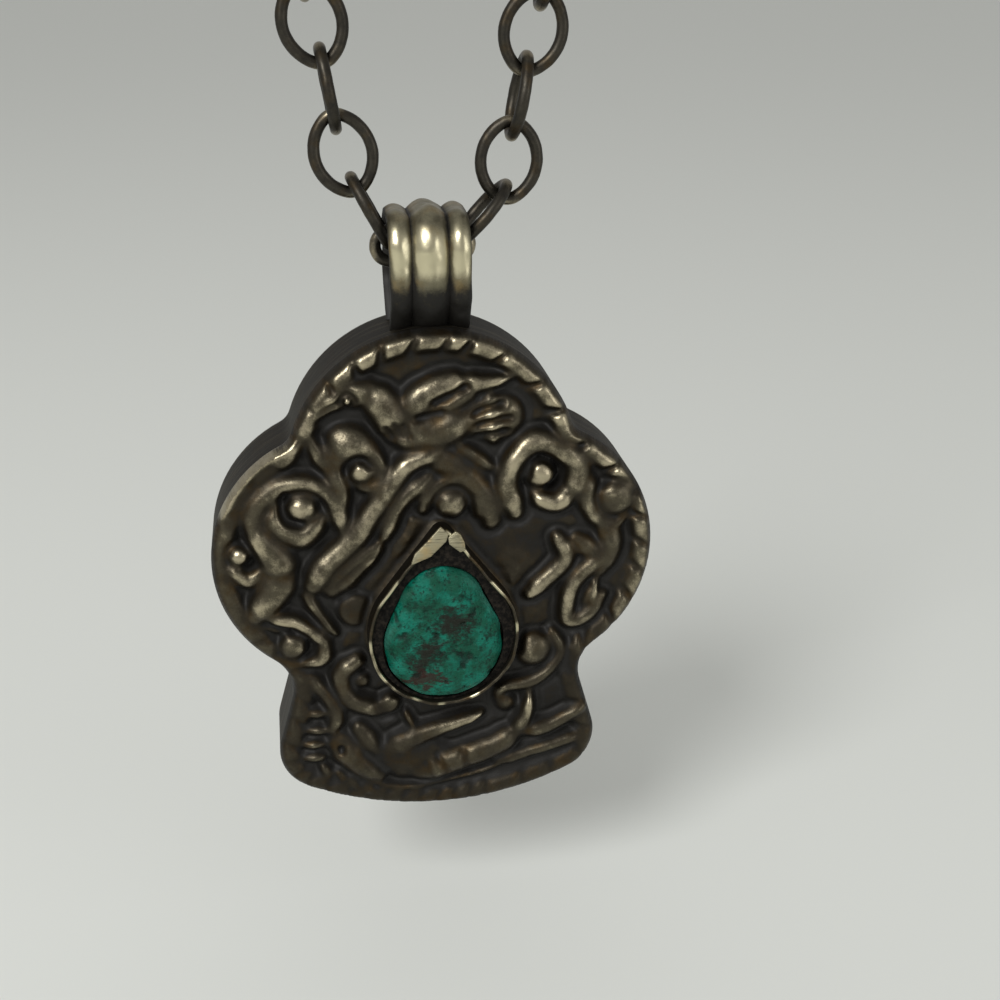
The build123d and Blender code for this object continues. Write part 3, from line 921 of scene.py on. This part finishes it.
def stone_finish(finish):
    """Matrix turquoise: green body, paler patches and rim, brown matrix, waxy surface."""
    material, tree, shader = new_material("matrix_turquoise")
    place = object_place(tree)
    spread = stored(tree, "matrix")
    veins = speckle(tree, stretched(tree, place, (1.0, 1.0, 1.9)), 620.0, 5.0, 0.68)
    patchy = speckle(tree, place, 330.0, 4.0, 0.6)
    mottle = reckon(tree, "MULTIPLY_ADD", spread, 0.13, speckle(tree, place, 900.0, 4.0, 0.65))
    pitted = reckon(tree, "MULTIPLY_ADD", spread, 0.1, speckle(tree, place, 2100.0, 3.0, 0.6))
    browned = reckon(tree, "MULTIPLY_ADD", spread, 0.32, veins)
    rusty = reckon(tree, "MULTIPLY_ADD", stored(tree, "red"), 0.42, veins)
    rim_tint = tuple(0.55 * c + 0.45 * k for c, k in zip(finish.stone_pale, RIM_TINT))
    colour = finish.stone
    for amount, added in (
        (ranged(tree, patchy, 0.40, 0.64), finish.stone_pale),
        (ranged(tree, mottle, 0.50, 0.68, 0.0, 0.9), scaled(finish.stone, 0.42)),
        (ranged(tree, pitted, 0.57, 0.69, 0.0, 0.8), scaled(finish.stone, 0.21)),
        (reckon(tree, "MULTIPLY", stored(tree, "rim"), 0.55), rim_tint),
        (ranged(tree, browned, 0.60, 0.80, 0.0, 0.9), finish.matrix),
        (ranged(tree, rusty, 0.72, 0.84, 0.0, 0.85), RUST),
        (reckon(tree, "MULTIPLY", stored(tree, "pit"), 0.8), PIT),
    ):
        colour = blended(tree, amount, colour, added)
    rough = reckon(tree, "MULTIPLY_ADD", speckle(tree, place, 2600.0, 3.0), 0.4, veins)
    surface(tree, shader, colour, ranged(tree, veins, 0.3, 0.75, 0.36, 0.6), rough, 1.0, 0.35)
    shader.inputs["Specular IOR Level"].default_value = 0.2
    return material


def lac_finish():
    """Dark setting lac with grit in it."""
    material, tree, shader = new_material("setting_lac")
    grit = speckle(tree, object_place(tree), 1800.0, 4.0, 0.65)
    colour = blended(tree, ranged(tree, grit, 0.4, 0.7), LAC, LAC_GRIT)
    surface(tree, shader, colour, ranged(tree, grit, 0.3, 0.7, 0.8, 0.6), grit, 0.6, 0.3)
    shader.inputs["Specular IOR Level"].default_value = 0.12
    return material


def paper_finish(finish):
    """Aged handmade paper with fibres and stains."""
    material, tree, shader = new_material("handmade_paper")
    place = object_place(tree)
    fibre = speckle(tree, stretched(tree, place, (1.0, 3.5, 3.5)), 1500.0, 5.0, 0.7)
    stain = speckle(tree, place, 160.0, 3.0)
    dark = scaled(finish.paper, (0.55, 0.45, 0.35))
    aged = blended(tree, ranged(tree, stain, 0.42, 0.7), finish.paper, dark)
    colour = blended(tree, ranged(tree, fibre, 0.55, 0.75, 0.0, 0.6), aged, dark)
    surface(tree, shader, colour, ranged(tree, fibre, 0.3, 0.7, 0.8, 0.95), fibre, 0.5, 0.1)
    return material


def thread_finish(finish):
    """Twisted cotton thread."""
    material, tree, shader = new_material("cotton_thread")
    values = {"Vector": object_place(tree), "Scale": 1500.0, "Distortion": 2.0, "Detail": 2.0}
    twist = node(tree, "TexWave", values, bands_direction="DIAGONAL").outputs["Fac"]
    colour = blended(tree, ranged(tree, twist, 0.2, 0.8), scaled(finish.thread, 0.4), finish.thread)
    surface(tree, shader, colour, ranged(tree, twist, 0.0, 1.0, 0.95, 0.75), twist, 0.6, 0.05)
    return material


def floor_finish():
    """Plain pale floor."""
    material, _, shader = new_material("pale_floor")
    shader.inputs["Base Color"].default_value = (*FLOOR, 1.0)
    shader.inputs["Roughness"].default_value = 0.9
    return material


def point_values(piece, name, values):
    """Stores one number for each point of a piece."""
    layer = piece.data.attributes.get(name) or piece.data.attributes.new(name, "FLOAT", "POINT")
    layer.data.foreach_set("value", np.asarray(values, np.float32))


def points_of(piece):
    """A piece's points as an array."""
    found = np.zeros(len(piece.data.vertices) * 3)
    piece.data.vertices.foreach_get("co", found)
    return found.reshape(-1, 3)


def move_points(piece, points):
    """Puts a piece's points back."""
    piece.data.vertices.foreach_set("co", np.asarray(points).ravel())
    piece.data.update()


def normals_of(piece):
    """A piece's point normals as an array."""
    found = np.zeros(len(piece.data.vertices) * 3, np.float32)
    piece.data.vertex_normals.foreach_get("vector", found)
    return found.reshape(-1, 3)


# Pieces


def sheet_of_cells(columns, rows):
    """Flat grid to be bent into shape, with each point's column and row."""
    start_piece()
    bpy.ops.mesh.primitive_grid_add(x_subdivisions=columns, y_subdivisions=rows, size=1)
    piece = bpy.context.object
    flat = points_of(piece)
    column = np.rint((flat[:, 0] + 0.5) * columns).astype(int)
    row = np.rint((flat[:, 1] + 0.5) * rows).astype(int)
    if len(flat) != (columns + 1) * (rows + 1):
        raise RuntimeError("The sheet has another number of points than its cells need")
    return piece, column, row


def select_points(piece, chosen):
    """Opens a piece in edit mode with only the chosen points selected."""
    bpy.context.view_layer.objects.active = piece
    bpy.ops.object.mode_set(mode="EDIT")
    bpy.ops.mesh.select_mode(type="VERT")
    bpy.ops.mesh.select_all(action="DESELECT")
    bpy.ops.object.mode_set(mode="OBJECT")
    piece.data.vertices.foreach_set("select", np.asarray(chosen, bool))
    bpy.ops.object.mode_set(mode="EDIT")


def close_sheet(piece, capped=False):
    """Joins the seams of a sheet rolled into a tube or ring, caps its ends and turns its faces out."""
    bpy.ops.object.mode_set(mode="EDIT")
    bpy.ops.mesh.select_mode(type="VERT")
    bpy.ops.mesh.select_all(action="SELECT")
    bpy.ops.mesh.remove_doubles(threshold=1e-7)
    if capped:
        bpy.ops.mesh.select_all(action="DESELECT")
        bpy.ops.mesh.select_non_manifold()
        bpy.ops.mesh.fill_holes(sides=0)
    bpy.ops.mesh.select_all(action="SELECT")
    bpy.ops.mesh.normals_make_consistent(inside=False)
    bpy.ops.object.mode_set(mode="OBJECT")


def joined(parts):
    """Joins pieces into the first of them."""
    start_piece()
    for part in parts:
        part.select_set(True)
    bpy.context.view_layer.objects.active = parts[0]
    bpy.ops.object.join()
    return parts[0]


def paint_node(name, material):
    """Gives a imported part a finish."""
    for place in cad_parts[name].material_slots:
        place.material = material


def finishes():
    """The scene's finish settings."""
    return bpy.context.scene.ghau_finish


class GHAU_OT_front(Operator):
    """Chases the front sheet with its rim, bird, clouds and scrolls"""

    bl_idname = "ghau.front"
    bl_label = "Chased front"

    def execute(self, context):
        front, finish = context.scene.ghau_front, finishes()
        outline = cover_outline()
        total = distances(outline)[-1]
        low, high = outline.min(0), outline.max(0)
        columns, rows = (int(n) for n in np.ceil((high - low) / (front.cell / MM)))
        piece, column, row = sheet_of_cells(columns, rows)
        x = low[0] + (high[0] - low[0]) * column / columns
        z = low[1] + (high[1] - low[1]) * row / rows
        kept = enclosed(x, z, outline)
        gap, along = reach(x, z, outline)

        height, ground = chased_height(x, z, np.where(kept, gap, 0.0), along * total, front)
        grid = np.zeros((rows + 1, columns + 1))
        grid[row, column] = height
        grid = blur(grid, 1)
        height, near = grid[row, column], blur(grid, 4)[row, column]
        move_points(piece, face_points(x, z, height))
        point_values(piece, "tone", face_tone(x, z, height - ground, height - near))
        point_values(piece, "along", along)
        select_points(piece, ~kept)
        bpy.ops.mesh.delete(type="VERT")
        bpy.ops.mesh.delete_loose()
        bpy.ops.mesh.select_all(action="DESELECT")
        bpy.ops.mesh.select_non_manifold()
        bpy.ops.object.mode_set(mode="OBJECT")

        rim = np.zeros(len(piece.data.vertices), bool)
        piece.data.vertices.foreach_get("select", rim)
        points = points_of(piece)
        where = np.zeros(len(points), np.float32)
        piece.data.attributes["along"].data.foreach_get("value", where)
        edge = places_along(outline, where[rim] * total)
        points[rim] = face_points(*edge.T, -EDGE_BEHIND)
        move_points(piece, points)

        bpy.ops.object.mode_set(mode="EDIT")
        bpy.ops.mesh.select_mode(type="EDGE")
        bpy.ops.mesh.select_all(action="DESELECT")
        bpy.ops.mesh.select_non_manifold()
        bpy.ops.mesh.extrude_edges_move(TRANSFORM_OT_translate={"value": (0, EDGE_TURNED * MM, 0)})
        bpy.ops.mesh.edge_face_add()
        bpy.ops.mesh.select_all(action="SELECT")
        bpy.ops.mesh.normals_make_consistent(inside=False)
        bpy.ops.object.mode_set(mode="OBJECT")
        colours = (scaled(finish.silver, 0.62), scaled(finish.patina, 0.85), finish.soot)
        worn = scaled(finish.silver, 2.4)
        material = metal_finish("chased_silver", colours, "tone", 0.6, 1.4, (0.6, 0.33), bump=0.45, worn=worn)
        finish_piece(piece, "chased_front", "ghau", material, ("front_cover",))
        return {"FINISHED"}


class GHAU_OT_band(Operator):
    """Finishes the side band, the back plate and the lid's flange"""

    bl_idname = "ghau.band"
    bl_label = "Band and back"

    def execute(self, context):
        finish = finishes()
        dull = (scaled(finish.silver, 0.5), scaled(finish.patina, 0.5), finish.soot)
        filed = metal_finish("filed_band", dull, 0.3, 0.5, 0.8, (0.65, 0.45), (70.0, 3200.0, 70.0))
        paint_node("side_wall", filed)
        colours = (finish.silver, finish.patina, finish.soot)
        rubbed = metal_finish("rubbed_back", colours, 0.66, 0.75, 1.0, (0.5, 0.36), worn=finish.bail)
        paint_node("back_plate", rubbed)
        paint_node("lid_flange", rubbed)
        return {"FINISHED"}


class GHAU_OT_bezel(Operator):
    """Bends the setting's collar round the stone and folds its two leaves over at the tip"""

    bl_idname = "ghau.bezel"
    bl_label = "Bezel"

    def execute(self, context):
        self.bend_collar(context.scene.ghau_stone)
        self.fold_flaps()
        return {"FINISHED"}

    def bend_collar(self, stone):
        """Runs the strip's section round the setting, with a wavering, worn edge that carries a painted
        highlight at the tip and painted shade over the lower half.
        """
        finish = finishes()
        line = egg_line(SETTING_RADIUS, SETTING_TIP_RADIUS, SETTING_TIP_RISE, 240)
        ahead = np.roll(line, -1, 0) - np.roll(line, 1, 0)
        out = np.column_stack([ahead[:, 1], -ahead[:, 0]]) / np.hypot(*ahead.T)[:, None]
        wall, waver = stone.wall / MM, stone.waver / MM
        inner = [(depth - wall, rise) for depth, rise in BEZEL_INNER]
        section = np.array([*BEZEL_OUTER, *inner, (-0.6 * wall, BEZEL_FOOT), (0, BEZEL_FOOT)])
        piece, column, row = sheet_of_cells(len(section) - 1, len(line))
        at = row % len(line)
        depth, rise = section[column].T
        lift = ramp(rise, 0.8, 3.4)
        bent = waver * lift * dappled(*(line[at] + SETTING_AT).T, (30, 30), BEZEL_LAYERS)
        x, z = (line[at] + SETTING_AT + out[at] * (depth + bent)[:, None]).T
        rise = rise + lift * 0.6 * waver * dapple(x + 50, z + 50, 2.1, 23)
        move_points(piece, face_points(x, z, rise))
        # Brightness of the worn top edge: rubbing that varies at random, plus a painted highlight at the tip
        # and painted shade dulling the edge over the lower half
        rubbed = dapple(x + 30, z + 30, 1.5, 24) + 0.5 * ramp(z - x, 6, 14) - 0.3 * ramp(-z, 4, 12)
        edge = ramp(rise, 2.9, 3.4) * (0.12 + 0.5 * ramp(rubbed, -0.1, 0.7))
        tone = 0.26 + edge + 0.1 * ramp(rise, 0.6, 2.0) - 0.2 * (depth <= -wall)
        point_values(piece, "tone", np.clip(tone, 0, 1))
        close_sheet(piece)
        colours = (finish.bail, finish.patina, finish.soot)
        material = metal_finish("bezel_silver", colours, "tone", 0.5, 0.8, (0.55, 0.3))
        finish_piece(piece, "bezel_collar", "ghau", material, ("bezel",), 50)

    def fold_flaps(self):
        """Cuts the two leaves from thick sheet and rounds their edges."""
        finish = finishes()
        parts = []
        for corners in BEZEL_FLAPS:
            start_piece()
            bpy.ops.mesh.primitive_circle_add(vertices=len(corners), radius=1, fill_type="NGON")
            flap = bpy.context.object
            move_points(flap, face_points(*np.array(corners).T, BEZEL_FLAP_TOP - BEZEL_FLAP_THICK))
            bpy.ops.object.mode_set(mode="EDIT")
            bpy.ops.mesh.select_all(action="SELECT")
            bpy.ops.mesh.extrude_region_move(TRANSFORM_OT_translate={"value": (0, -BEZEL_FLAP_THICK * MM, 0)})
            bpy.ops.object.mode_set(mode="OBJECT")
            outward(flap)
            apply_modifier(flap, "BEVEL", width=BEZEL_FLAP_ROUND * MM, segments=2)
            parts.append(flap)
        colours = (finish.patina, scaled(finish.bail, 0.7), finish.patina)
        filed = metal_finish("filed_flaps", colours, 0.43, 0.1, 0.6, (0.5, 0.4), (260.0, 900.0, 4200.0), 0.9)
        finish_piece(joined(parts), "bezel_flaps", "ghau", filed, (), 50)


class GHAU_OT_stone(Operator):
    """Shapes the pitted turquoise and gives the lac round it its finish"""

    bl_idname = "ghau.stone"
    bl_label = "Stone"

    def execute(self, context):
        stone = context.scene.ghau_stone
        start_piece()
        bpy.ops.mesh.primitive_uv_sphere_add(segments=200, ring_count=120, radius=1)
        piece = bpy.context.object
        ball = points_of(piece)
        bearing = np.arctan2(ball[:, 1], ball[:, 0])
        polar = np.arccos(np.clip(ball[:, 2], -1, 1))
        line = egg_line(STONE_RADIUS, STONE_CROWN_RADIUS, STONE_CROWN_RISE, 300) - (0, STONE_MIDDLE_UP)
        turn = np.arctan2(line[:, 1], line[:, 0])
        order = np.argsort(turn)
        size = np.interp(bearing, turn[order], np.hypot(*line[order].T), period=2 * math.pi)
        size = size * (0.98 + 0.02 * dapple(4 * np.cos(bearing) + 9, 4 * np.sin(bearing) + 9, 1.1, 31))
        share = np.sin(polar) ** STONE_SHOULDER
        x = STONE_AT[0] + size * share * np.cos(bearing)
        z = STONE_AT[1] + STONE_MIDDLE_UP + size * share * np.sin(bearing)

        front = np.clip(np.cos(polar), 0, 1)
        worn = ramp(front, 0.0, 0.35)
        lumps = dappled(x, z, (50, 50), STONE_LUMPS) - 0.22
        pit = ramp(dappled(x, z, (50, 50), STONE_SPECKS), 0.45, 0.95) * worn
        rise = STONE_RISE * front**0.5 + worn * lumps - stone.pitting / MM * pit
        move_points(piece, face_points(x, z, SEAT_LEVEL + np.minimum(rise, STONE_TOP)))

        spread = np.zeros(len(x))
        for across, up, radius in STONE_MATRIX:
            spread = np.maximum(spread, np.exp(-((np.hypot(x - across, z - up) / radius) ** 2)))
        red_x, red_z = (x - STONE_RED_AT[0]) / STONE_RED_REACH[0], (z - STONE_RED_AT[1]) / STONE_RED_REACH[1]
        # A paler tint in random patches along the stone's steep edge
        rim = ramp(share, 0.86, 0.98) * ramp(dapple(x + 20, z + 20, 2.2, 36), -0.5, 0.4)
        held = {"pit": pit, "matrix": spread, "red": np.exp(-(red_x**2 + red_z**2)), "rim": rim}
        for name, values in held.items():
            point_values(piece, name, values)
        outward(piece)
        finish_piece(piece, "turquoise_stone", "ghau", stone_finish(finishes()), ("turquoise",))
        paint_node("setting_cement", lac_finish())
        return {"FINISHED"}


def bail_path(crown, foot):
    """Line of the bail's strip from its front foot over the chain to its rear foot, in depth and height."""
    climb = np.array([BAIL_FOOT, BAIL_PINCH]) + (0, foot)
    climb = np.vstack([climb, (BAIL_PINCH[0], crown)])
    route = np.vstack([climb, climb[::-1] * (-1, 1)])
    lean = route[1] - route[0]
    begin = route[0] - lean * (BAIL_FOOT[1] + BAIL_SUNK) / lean[1]
    path = [begin]
    for before, corner, after in zip(route, route[1:], route[2:]):
        a, b = before - corner, after - corner
        a, b = a / np.hypot(*a), b / np.hypot(*b)
        half = math.acos(np.clip(a @ b, -1, 1)) / 2
        centre = corner + (a + b) / np.hypot(*(a + b)) * BAIL_BEND / math.sin(half)
        first = corner + a * BAIL_BEND / math.tan(half) - centre
        for step in np.linspace(0, 1, 16):
            turn = math.atan2(first[1], first[0]) - (math.pi - 2 * half) * step
            path.append(centre + BAIL_BEND * np.array([math.cos(turn), math.sin(turn)]))
    return np.array([*path, begin * (-1, 1)])


def bail_section():
    """Section of the bail's strip, across and rise: three ribs outside, plain inside."""
    share = np.linspace(-1, 1, 65)
    across = BAIL_HALF * np.sign(share) * (1 - (1 - np.abs(share)) ** 1.15)
    middle = np.cos(np.clip(across / BAIL_MIDDLE_HALF, -1, 1) * math.pi / 2) ** 0.9
    middle = BAIL_VALLEY + (BAIL_RIB - 0.07 - BAIL_VALLEY) * middle
    side = np.cos(np.clip((np.abs(across) - BAIL_SIDE_AT) / BAIL_SIDE_HALF, -1, 1) * math.pi / 2) ** 0.8
    side = BAIL_VALLEY + (BAIL_SIDE_RIB - BAIL_VALLEY) * side
    lift = np.where(np.abs(across) < BAIL_MIDDLE_HALF, middle, side)
    lift = np.where(np.abs(share) == 1, BAIL_EDGE, lift)
    inner = np.linspace(BAIL_HALF, -BAIL_HALF, 21)[1:-1]
    return np.vstack([
        np.column_stack([across, lift]),
        np.column_stack([inner, np.zeros(len(inner))]),
        [(across[0], lift[0])],
    ])


class GHAU_OT_bail(Operator):
    """Bends the ribbed bail over the chain, with hammer dents"""

    bl_idname = "ghau.bail"
    bl_label = "Bail"

    def execute(self, context):
        finish = finishes()
        foot = COVER_HIGH.z / MM
        path = bail_path(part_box("bail")[1].z / MM - BAIL_RIB, foot)
        total = distances(path)[-1]
        s = np.linspace(0, total, BAIL_ROWS + 1)
        spine = places_along(path, s)
        ahead = np.gradient(spine, axis=0)
        ahead = np.column_stack([blur(ahead[:, k : k + 1], 2)[:, 0] for k in (0, 1)])
        out = np.column_stack([-ahead[:, 1], ahead[:, 0]]) / np.hypot(*ahead.T)[:, None]

        section = bail_section()
        piece, column, row = sheet_of_cells(len(section) - 1, BAIL_ROWS)
        x, rise = section[column].T
        at = s[row]
        rise = rise + ramp(rise, 0.2, 0.5) * (dappled(x, at, (30, 30), BAIL_DENTS) - 0.05)
        x = x + 0.08 * dapple(at + 11, x * 0 + 3, 2.6, 43) * ramp(np.abs(x), 2.5, BAIL_HALF)
        y, z = (spine[row] + out[row] * rise[:, None]).T
        drop = np.sqrt(BOX_CROWN**2 - x**2) - BOX_CROWN
        near_end = np.minimum(at, total - at)
        z = np.maximum(z + drop * (1 - ramp(near_end, 0.0, 4.0)), foot + drop - BAIL_SUNK)
        move_points(piece, np.column_stack([x, y, z]) * MM)

        up = z - foot
        # Painted light by height: a painted highlight band across the upper middle, less at the crown, and
        # painted shade with a painted dark reflection down towards the foot
        painted_light_by_height = 0.05 + 0.11 * ramp(up, 0.2, 5.0) + 0.84 * ramp(up, 4.0, 8.4) - 0.4 * ramp(up, 10.0, 12.6)
        ridge = 0.2 + 0.8 * ramp(rise, BAIL_VALLEY - 0.05, 1.2)
        tone = ridge * painted_light_by_height * np.where(rise < BAIL_EDGE, 0.6, 1)
        point_values(piece, "tone", np.clip(tone, 0, 1))
        close_sheet(piece, capped=True)
        colours = (finish.bail, scaled(finish.bail, 0.3), finish.soot)
        material = metal_finish("bail_silver", colours, "tone", 0.45, 1.0, (0.55, 0.3))
        finish_piece(piece, "ribbed_bail", "ghau", material, ("bail",), 50)
        return {"FINISHED"}


class GHAU_OT_chain(Operator):
    """Wears the chain's links where they rub on each other"""

    bl_idname = "ghau.chain"
    bl_label = "Chain"

    def execute(self, context):
        finish = finishes()
        colours = (finish.wire_worn, finish.wire, scaled(finish.soot, 0.8))
        material = metal_finish("chain_wire", colours, "tone", 0.7, 1.0, (0.5, 0.3))
        owner = {"centre_link": "centre"}
        for side in ("left", "right"):
            for k in range(5):
                owner[f"{side}_link_{k}"] = "chain_ends" if k == 0 else f"links_{k}"
        for seed, (name, body) in enumerate(owner.items()):
            start_piece()
            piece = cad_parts[name].copy()
            piece.data = piece.data.copy()
            piece.parent = None
            bpy.context.scene.collection.objects.link(piece)
            outward(piece)
            points = points_of(piece)
            centre = (points.min(0) + points.max(0)) / 2
            long_way = np.linalg.svd(points - centre, full_matrices=False)[2][0]
            share = np.abs((points - centre) @ long_way)
            share = share / share.max()
            u, v, w = (points / MM).T
            uneven = 0.6 * dapple(u + v + 70, w + 200, 1.3, 51 + seed)
            uneven = uneven + 0.4 * dapple(u - v + 70, w + 200, 0.6, 71 + seed)
            worn_off = CHAIN_WEAR * (0.9 - uneven)
            move_points(piece, points - normals_of(piece) * worn_off[:, None] * MM)
            point_values(piece, "tone", 0.34 + 0.36 * ramp(share, 0.74, 0.97) + 0.1 * uneven)
            finish_piece(piece, f"worn_{name}", body, material, (name,))
        return {"FINISHED"}


class GHAU_OT_scroll(Operator):
    """Rolls the prayer paper and winds thread round it"""

    bl_idname = "ghau.scroll"
    bl_label = "Prayer scroll"

    def execute(self, context):
        finish = finishes()
        low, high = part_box("prayer_scroll")
        middle = (low + high) / 2 / MM
        turns = (SCROLL_RADIUS - SCROLL_CORE) / SCROLL_PITCH
        piece, column, row = sheet_of_cells(int(turns * PAPER_STEPS), PAPER_ROWS)
        bend = column / PAPER_STEPS * 2 * math.pi
        across = (row / PAPER_ROWS - 0.5) * ((high.x - low.x) / MM - 0.3)
        radius = SCROLL_CORE + SCROLL_PITCH * column / PAPER_STEPS - 0.12
        radius = radius + 0.04 * dapple(bend * 2 + 20, across + 40, 2.4, 61)
        across = across + 0.12 * dapple(bend + 20, across * 0 + 5, 1.3, 62)
        rolled = np.column_stack([across, radius * np.cos(bend), radius * np.sin(bend)])
        move_points(piece, (rolled + middle) * MM)
        apply_modifier(piece, "SOLIDIFY", thickness=PAPER_THICK * MM, offset=0)
        outward(piece)
        finish_piece(piece, "rolled_prayer", "ghau", paper_finish(finish), ("prayer_scroll",))

        low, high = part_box("scroll_ties")
        parts = []
        for end in (low.x / MM + THREAD_FROM_END, high.x / MM - THREAD_FROM_END):
            for k in range(THREAD_TURNS):
                start_piece()
                bpy.ops.mesh.primitive_torus_add(
                    major_segments=72,
                    minor_segments=10,
                    major_radius=(SCROLL_RADIUS + THREAD_RADIUS) * MM,
                    minor_radius=THREAD_RADIUS * MM,
                )
                turn = bpy.context.object
                y, z, x = (points_of(turn) / MM).T
                bearing = np.arctan2(z, y)
                lean = 0.06 * np.sin(bearing + k) + 0.03 * dapple(bearing * 2 + 20, bearing * 0 + k, 1.0, 63)
                x = x + lean + end + (k - (THREAD_TURNS - 1) / 2) * THREAD_STEP
                move_points(turn, np.column_stack([x, y + middle[1], z + middle[2]]) * MM)
                parts.append(turn)
        tie = joined(parts)
        outward(tie)
        finish_piece(tie, "thread_ties", "ghau", thread_finish(finish), ("scroll_ties",))
        return {"FINISHED"}


class GHAU_OT_stage(Operator):
    """Sets the floor, the light and the camera"""

    bl_idname = "ghau.stage"
    bl_label = "Stage"

    def execute(self, context):
        scene, stage = context.scene, context.scene.ghau_stage
        start_piece()
        bpy.ops.mesh.primitive_plane_add(size=8, location=(0, 0, COVER_LOW.z - FLOOR_DROP))
        floor = context.object
        floor.name = "floor"
        floor.data.materials.append(floor_finish())

        back = Vector((
            math.sin(stage.azimuth) * math.cos(stage.elevation),
            -math.cos(stage.azimuth) * math.cos(stage.elevation),
            math.sin(stage.elevation),
        ))
        aim = Vector((CAMERA_AIM[0] * MM, CAMERA_AIM_DEPTH, FACE_Z + CAMERA_AIM[1] * MM))
        turned = back.to_track_quat("Z", "Y").to_euler()
        bpy.ops.object.camera_add(location=aim + back * stage.distance, rotation=turned)
        camera = context.object
        camera.data.lens = stage.lens
        camera.data.sensor_width = SENSOR_WIDTH
        camera.data.clip_start = 0.01
        scene.camera = camera

        for name, (place, size, power) in LAMPS.items():
            turned = Vector(place).to_track_quat("Z", "Y").to_euler()
            bpy.ops.object.light_add(type="AREA", location=aim + Vector(place), rotation=turned)
            lamp = context.object
            lamp.name = name
            lamp.data.shape = "DISK"
            lamp.data.size = size
            lamp.data.energy = power

        world = bpy.data.worlds.new("studio")
        scene.world = world
        world.use_nodes = True
        tree = world.node_tree
        ray = node(tree, "LightPath").outputs
        seen = reckon(tree, "MAXIMUM", ray["Is Camera Ray"], ray["Is Glossy Ray"])
        seen = reckon(tree, "MAXIMUM", seen, ray["Is Transmission Ray"])
        surround = tree.nodes["Background"]
        surround.inputs["Color"].default_value = (*SURROUND, 1.0)
        strength = ranged(tree, seen, 0.0, 1.0, SURROUND_LIGHT, SURROUND_SEEN)
        join(tree, strength, surround.inputs["Strength"])
        scene.view_settings.view_transform = "Standard"
        return {"FINISHED"}


class GHAU_PT_build(Panel):
    """Lists the steps that dress the box"""

    bl_idname = "GHAU_PT_build"
    bl_label = "Ghau amulet box"
    bl_space_type = "VIEW_3D"
    bl_region_type = "UI"
    bl_category = "Ghau"

    def draw(self, context):
        for step in STEPS:
            self.layout.operator(step.bl_idname)
        for settings in SETTINGS:
            column = self.layout.column()
            held = getattr(context.scene, settings)
            for key in held.bl_rna.properties.keys():
                if key not in ("rna_type", "name"):
                    column.prop(held, key)


STEPS = (
    GHAU_OT_stage,
    GHAU_OT_front,
    GHAU_OT_band,
    GHAU_OT_bezel,
    GHAU_OT_stone,
    GHAU_OT_bail,
    GHAU_OT_chain,
    GHAU_OT_scroll,
)
SETTINGS = {
    "ghau_front": GhauFrontSettings,
    "ghau_stone": GhauStoneSettings,
    "ghau_finish": GhauFinishSettings,
    "ghau_stage": GhauStageSettings,
}


def register():
    """Adds the settings, the steps and the panel."""
    for settings in SETTINGS.values():
        bpy.utils.register_class(settings)
    for step in STEPS:
        bpy.utils.register_class(step)
    bpy.utils.register_class(GHAU_PT_build)
    for name, settings in SETTINGS.items():
        setattr(bpy.types.Scene, name, PointerProperty(type=settings))


def unregister():
    """Takes the panel, the steps and the settings away."""
    for name in SETTINGS:
        delattr(bpy.types.Scene, name)
    bpy.utils.unregister_class(GHAU_PT_build)
    for step in reversed(STEPS):
        bpy.utils.unregister_class(step)
    for settings in reversed(SETTINGS.values()):
        bpy.utils.unregister_class(settings)


def main():
    """Builds every piece."""
    register()
    bpy.ops.ghau.stage()
    bpy.ops.ghau.front()
    bpy.ops.ghau.band()
    bpy.ops.ghau.bezel()
    bpy.ops.ghau.stone()
    bpy.ops.ghau.bail()
    bpy.ops.ghau.chain()
    bpy.ops.ghau.scroll()


if __name__ == "__main__":
    main()
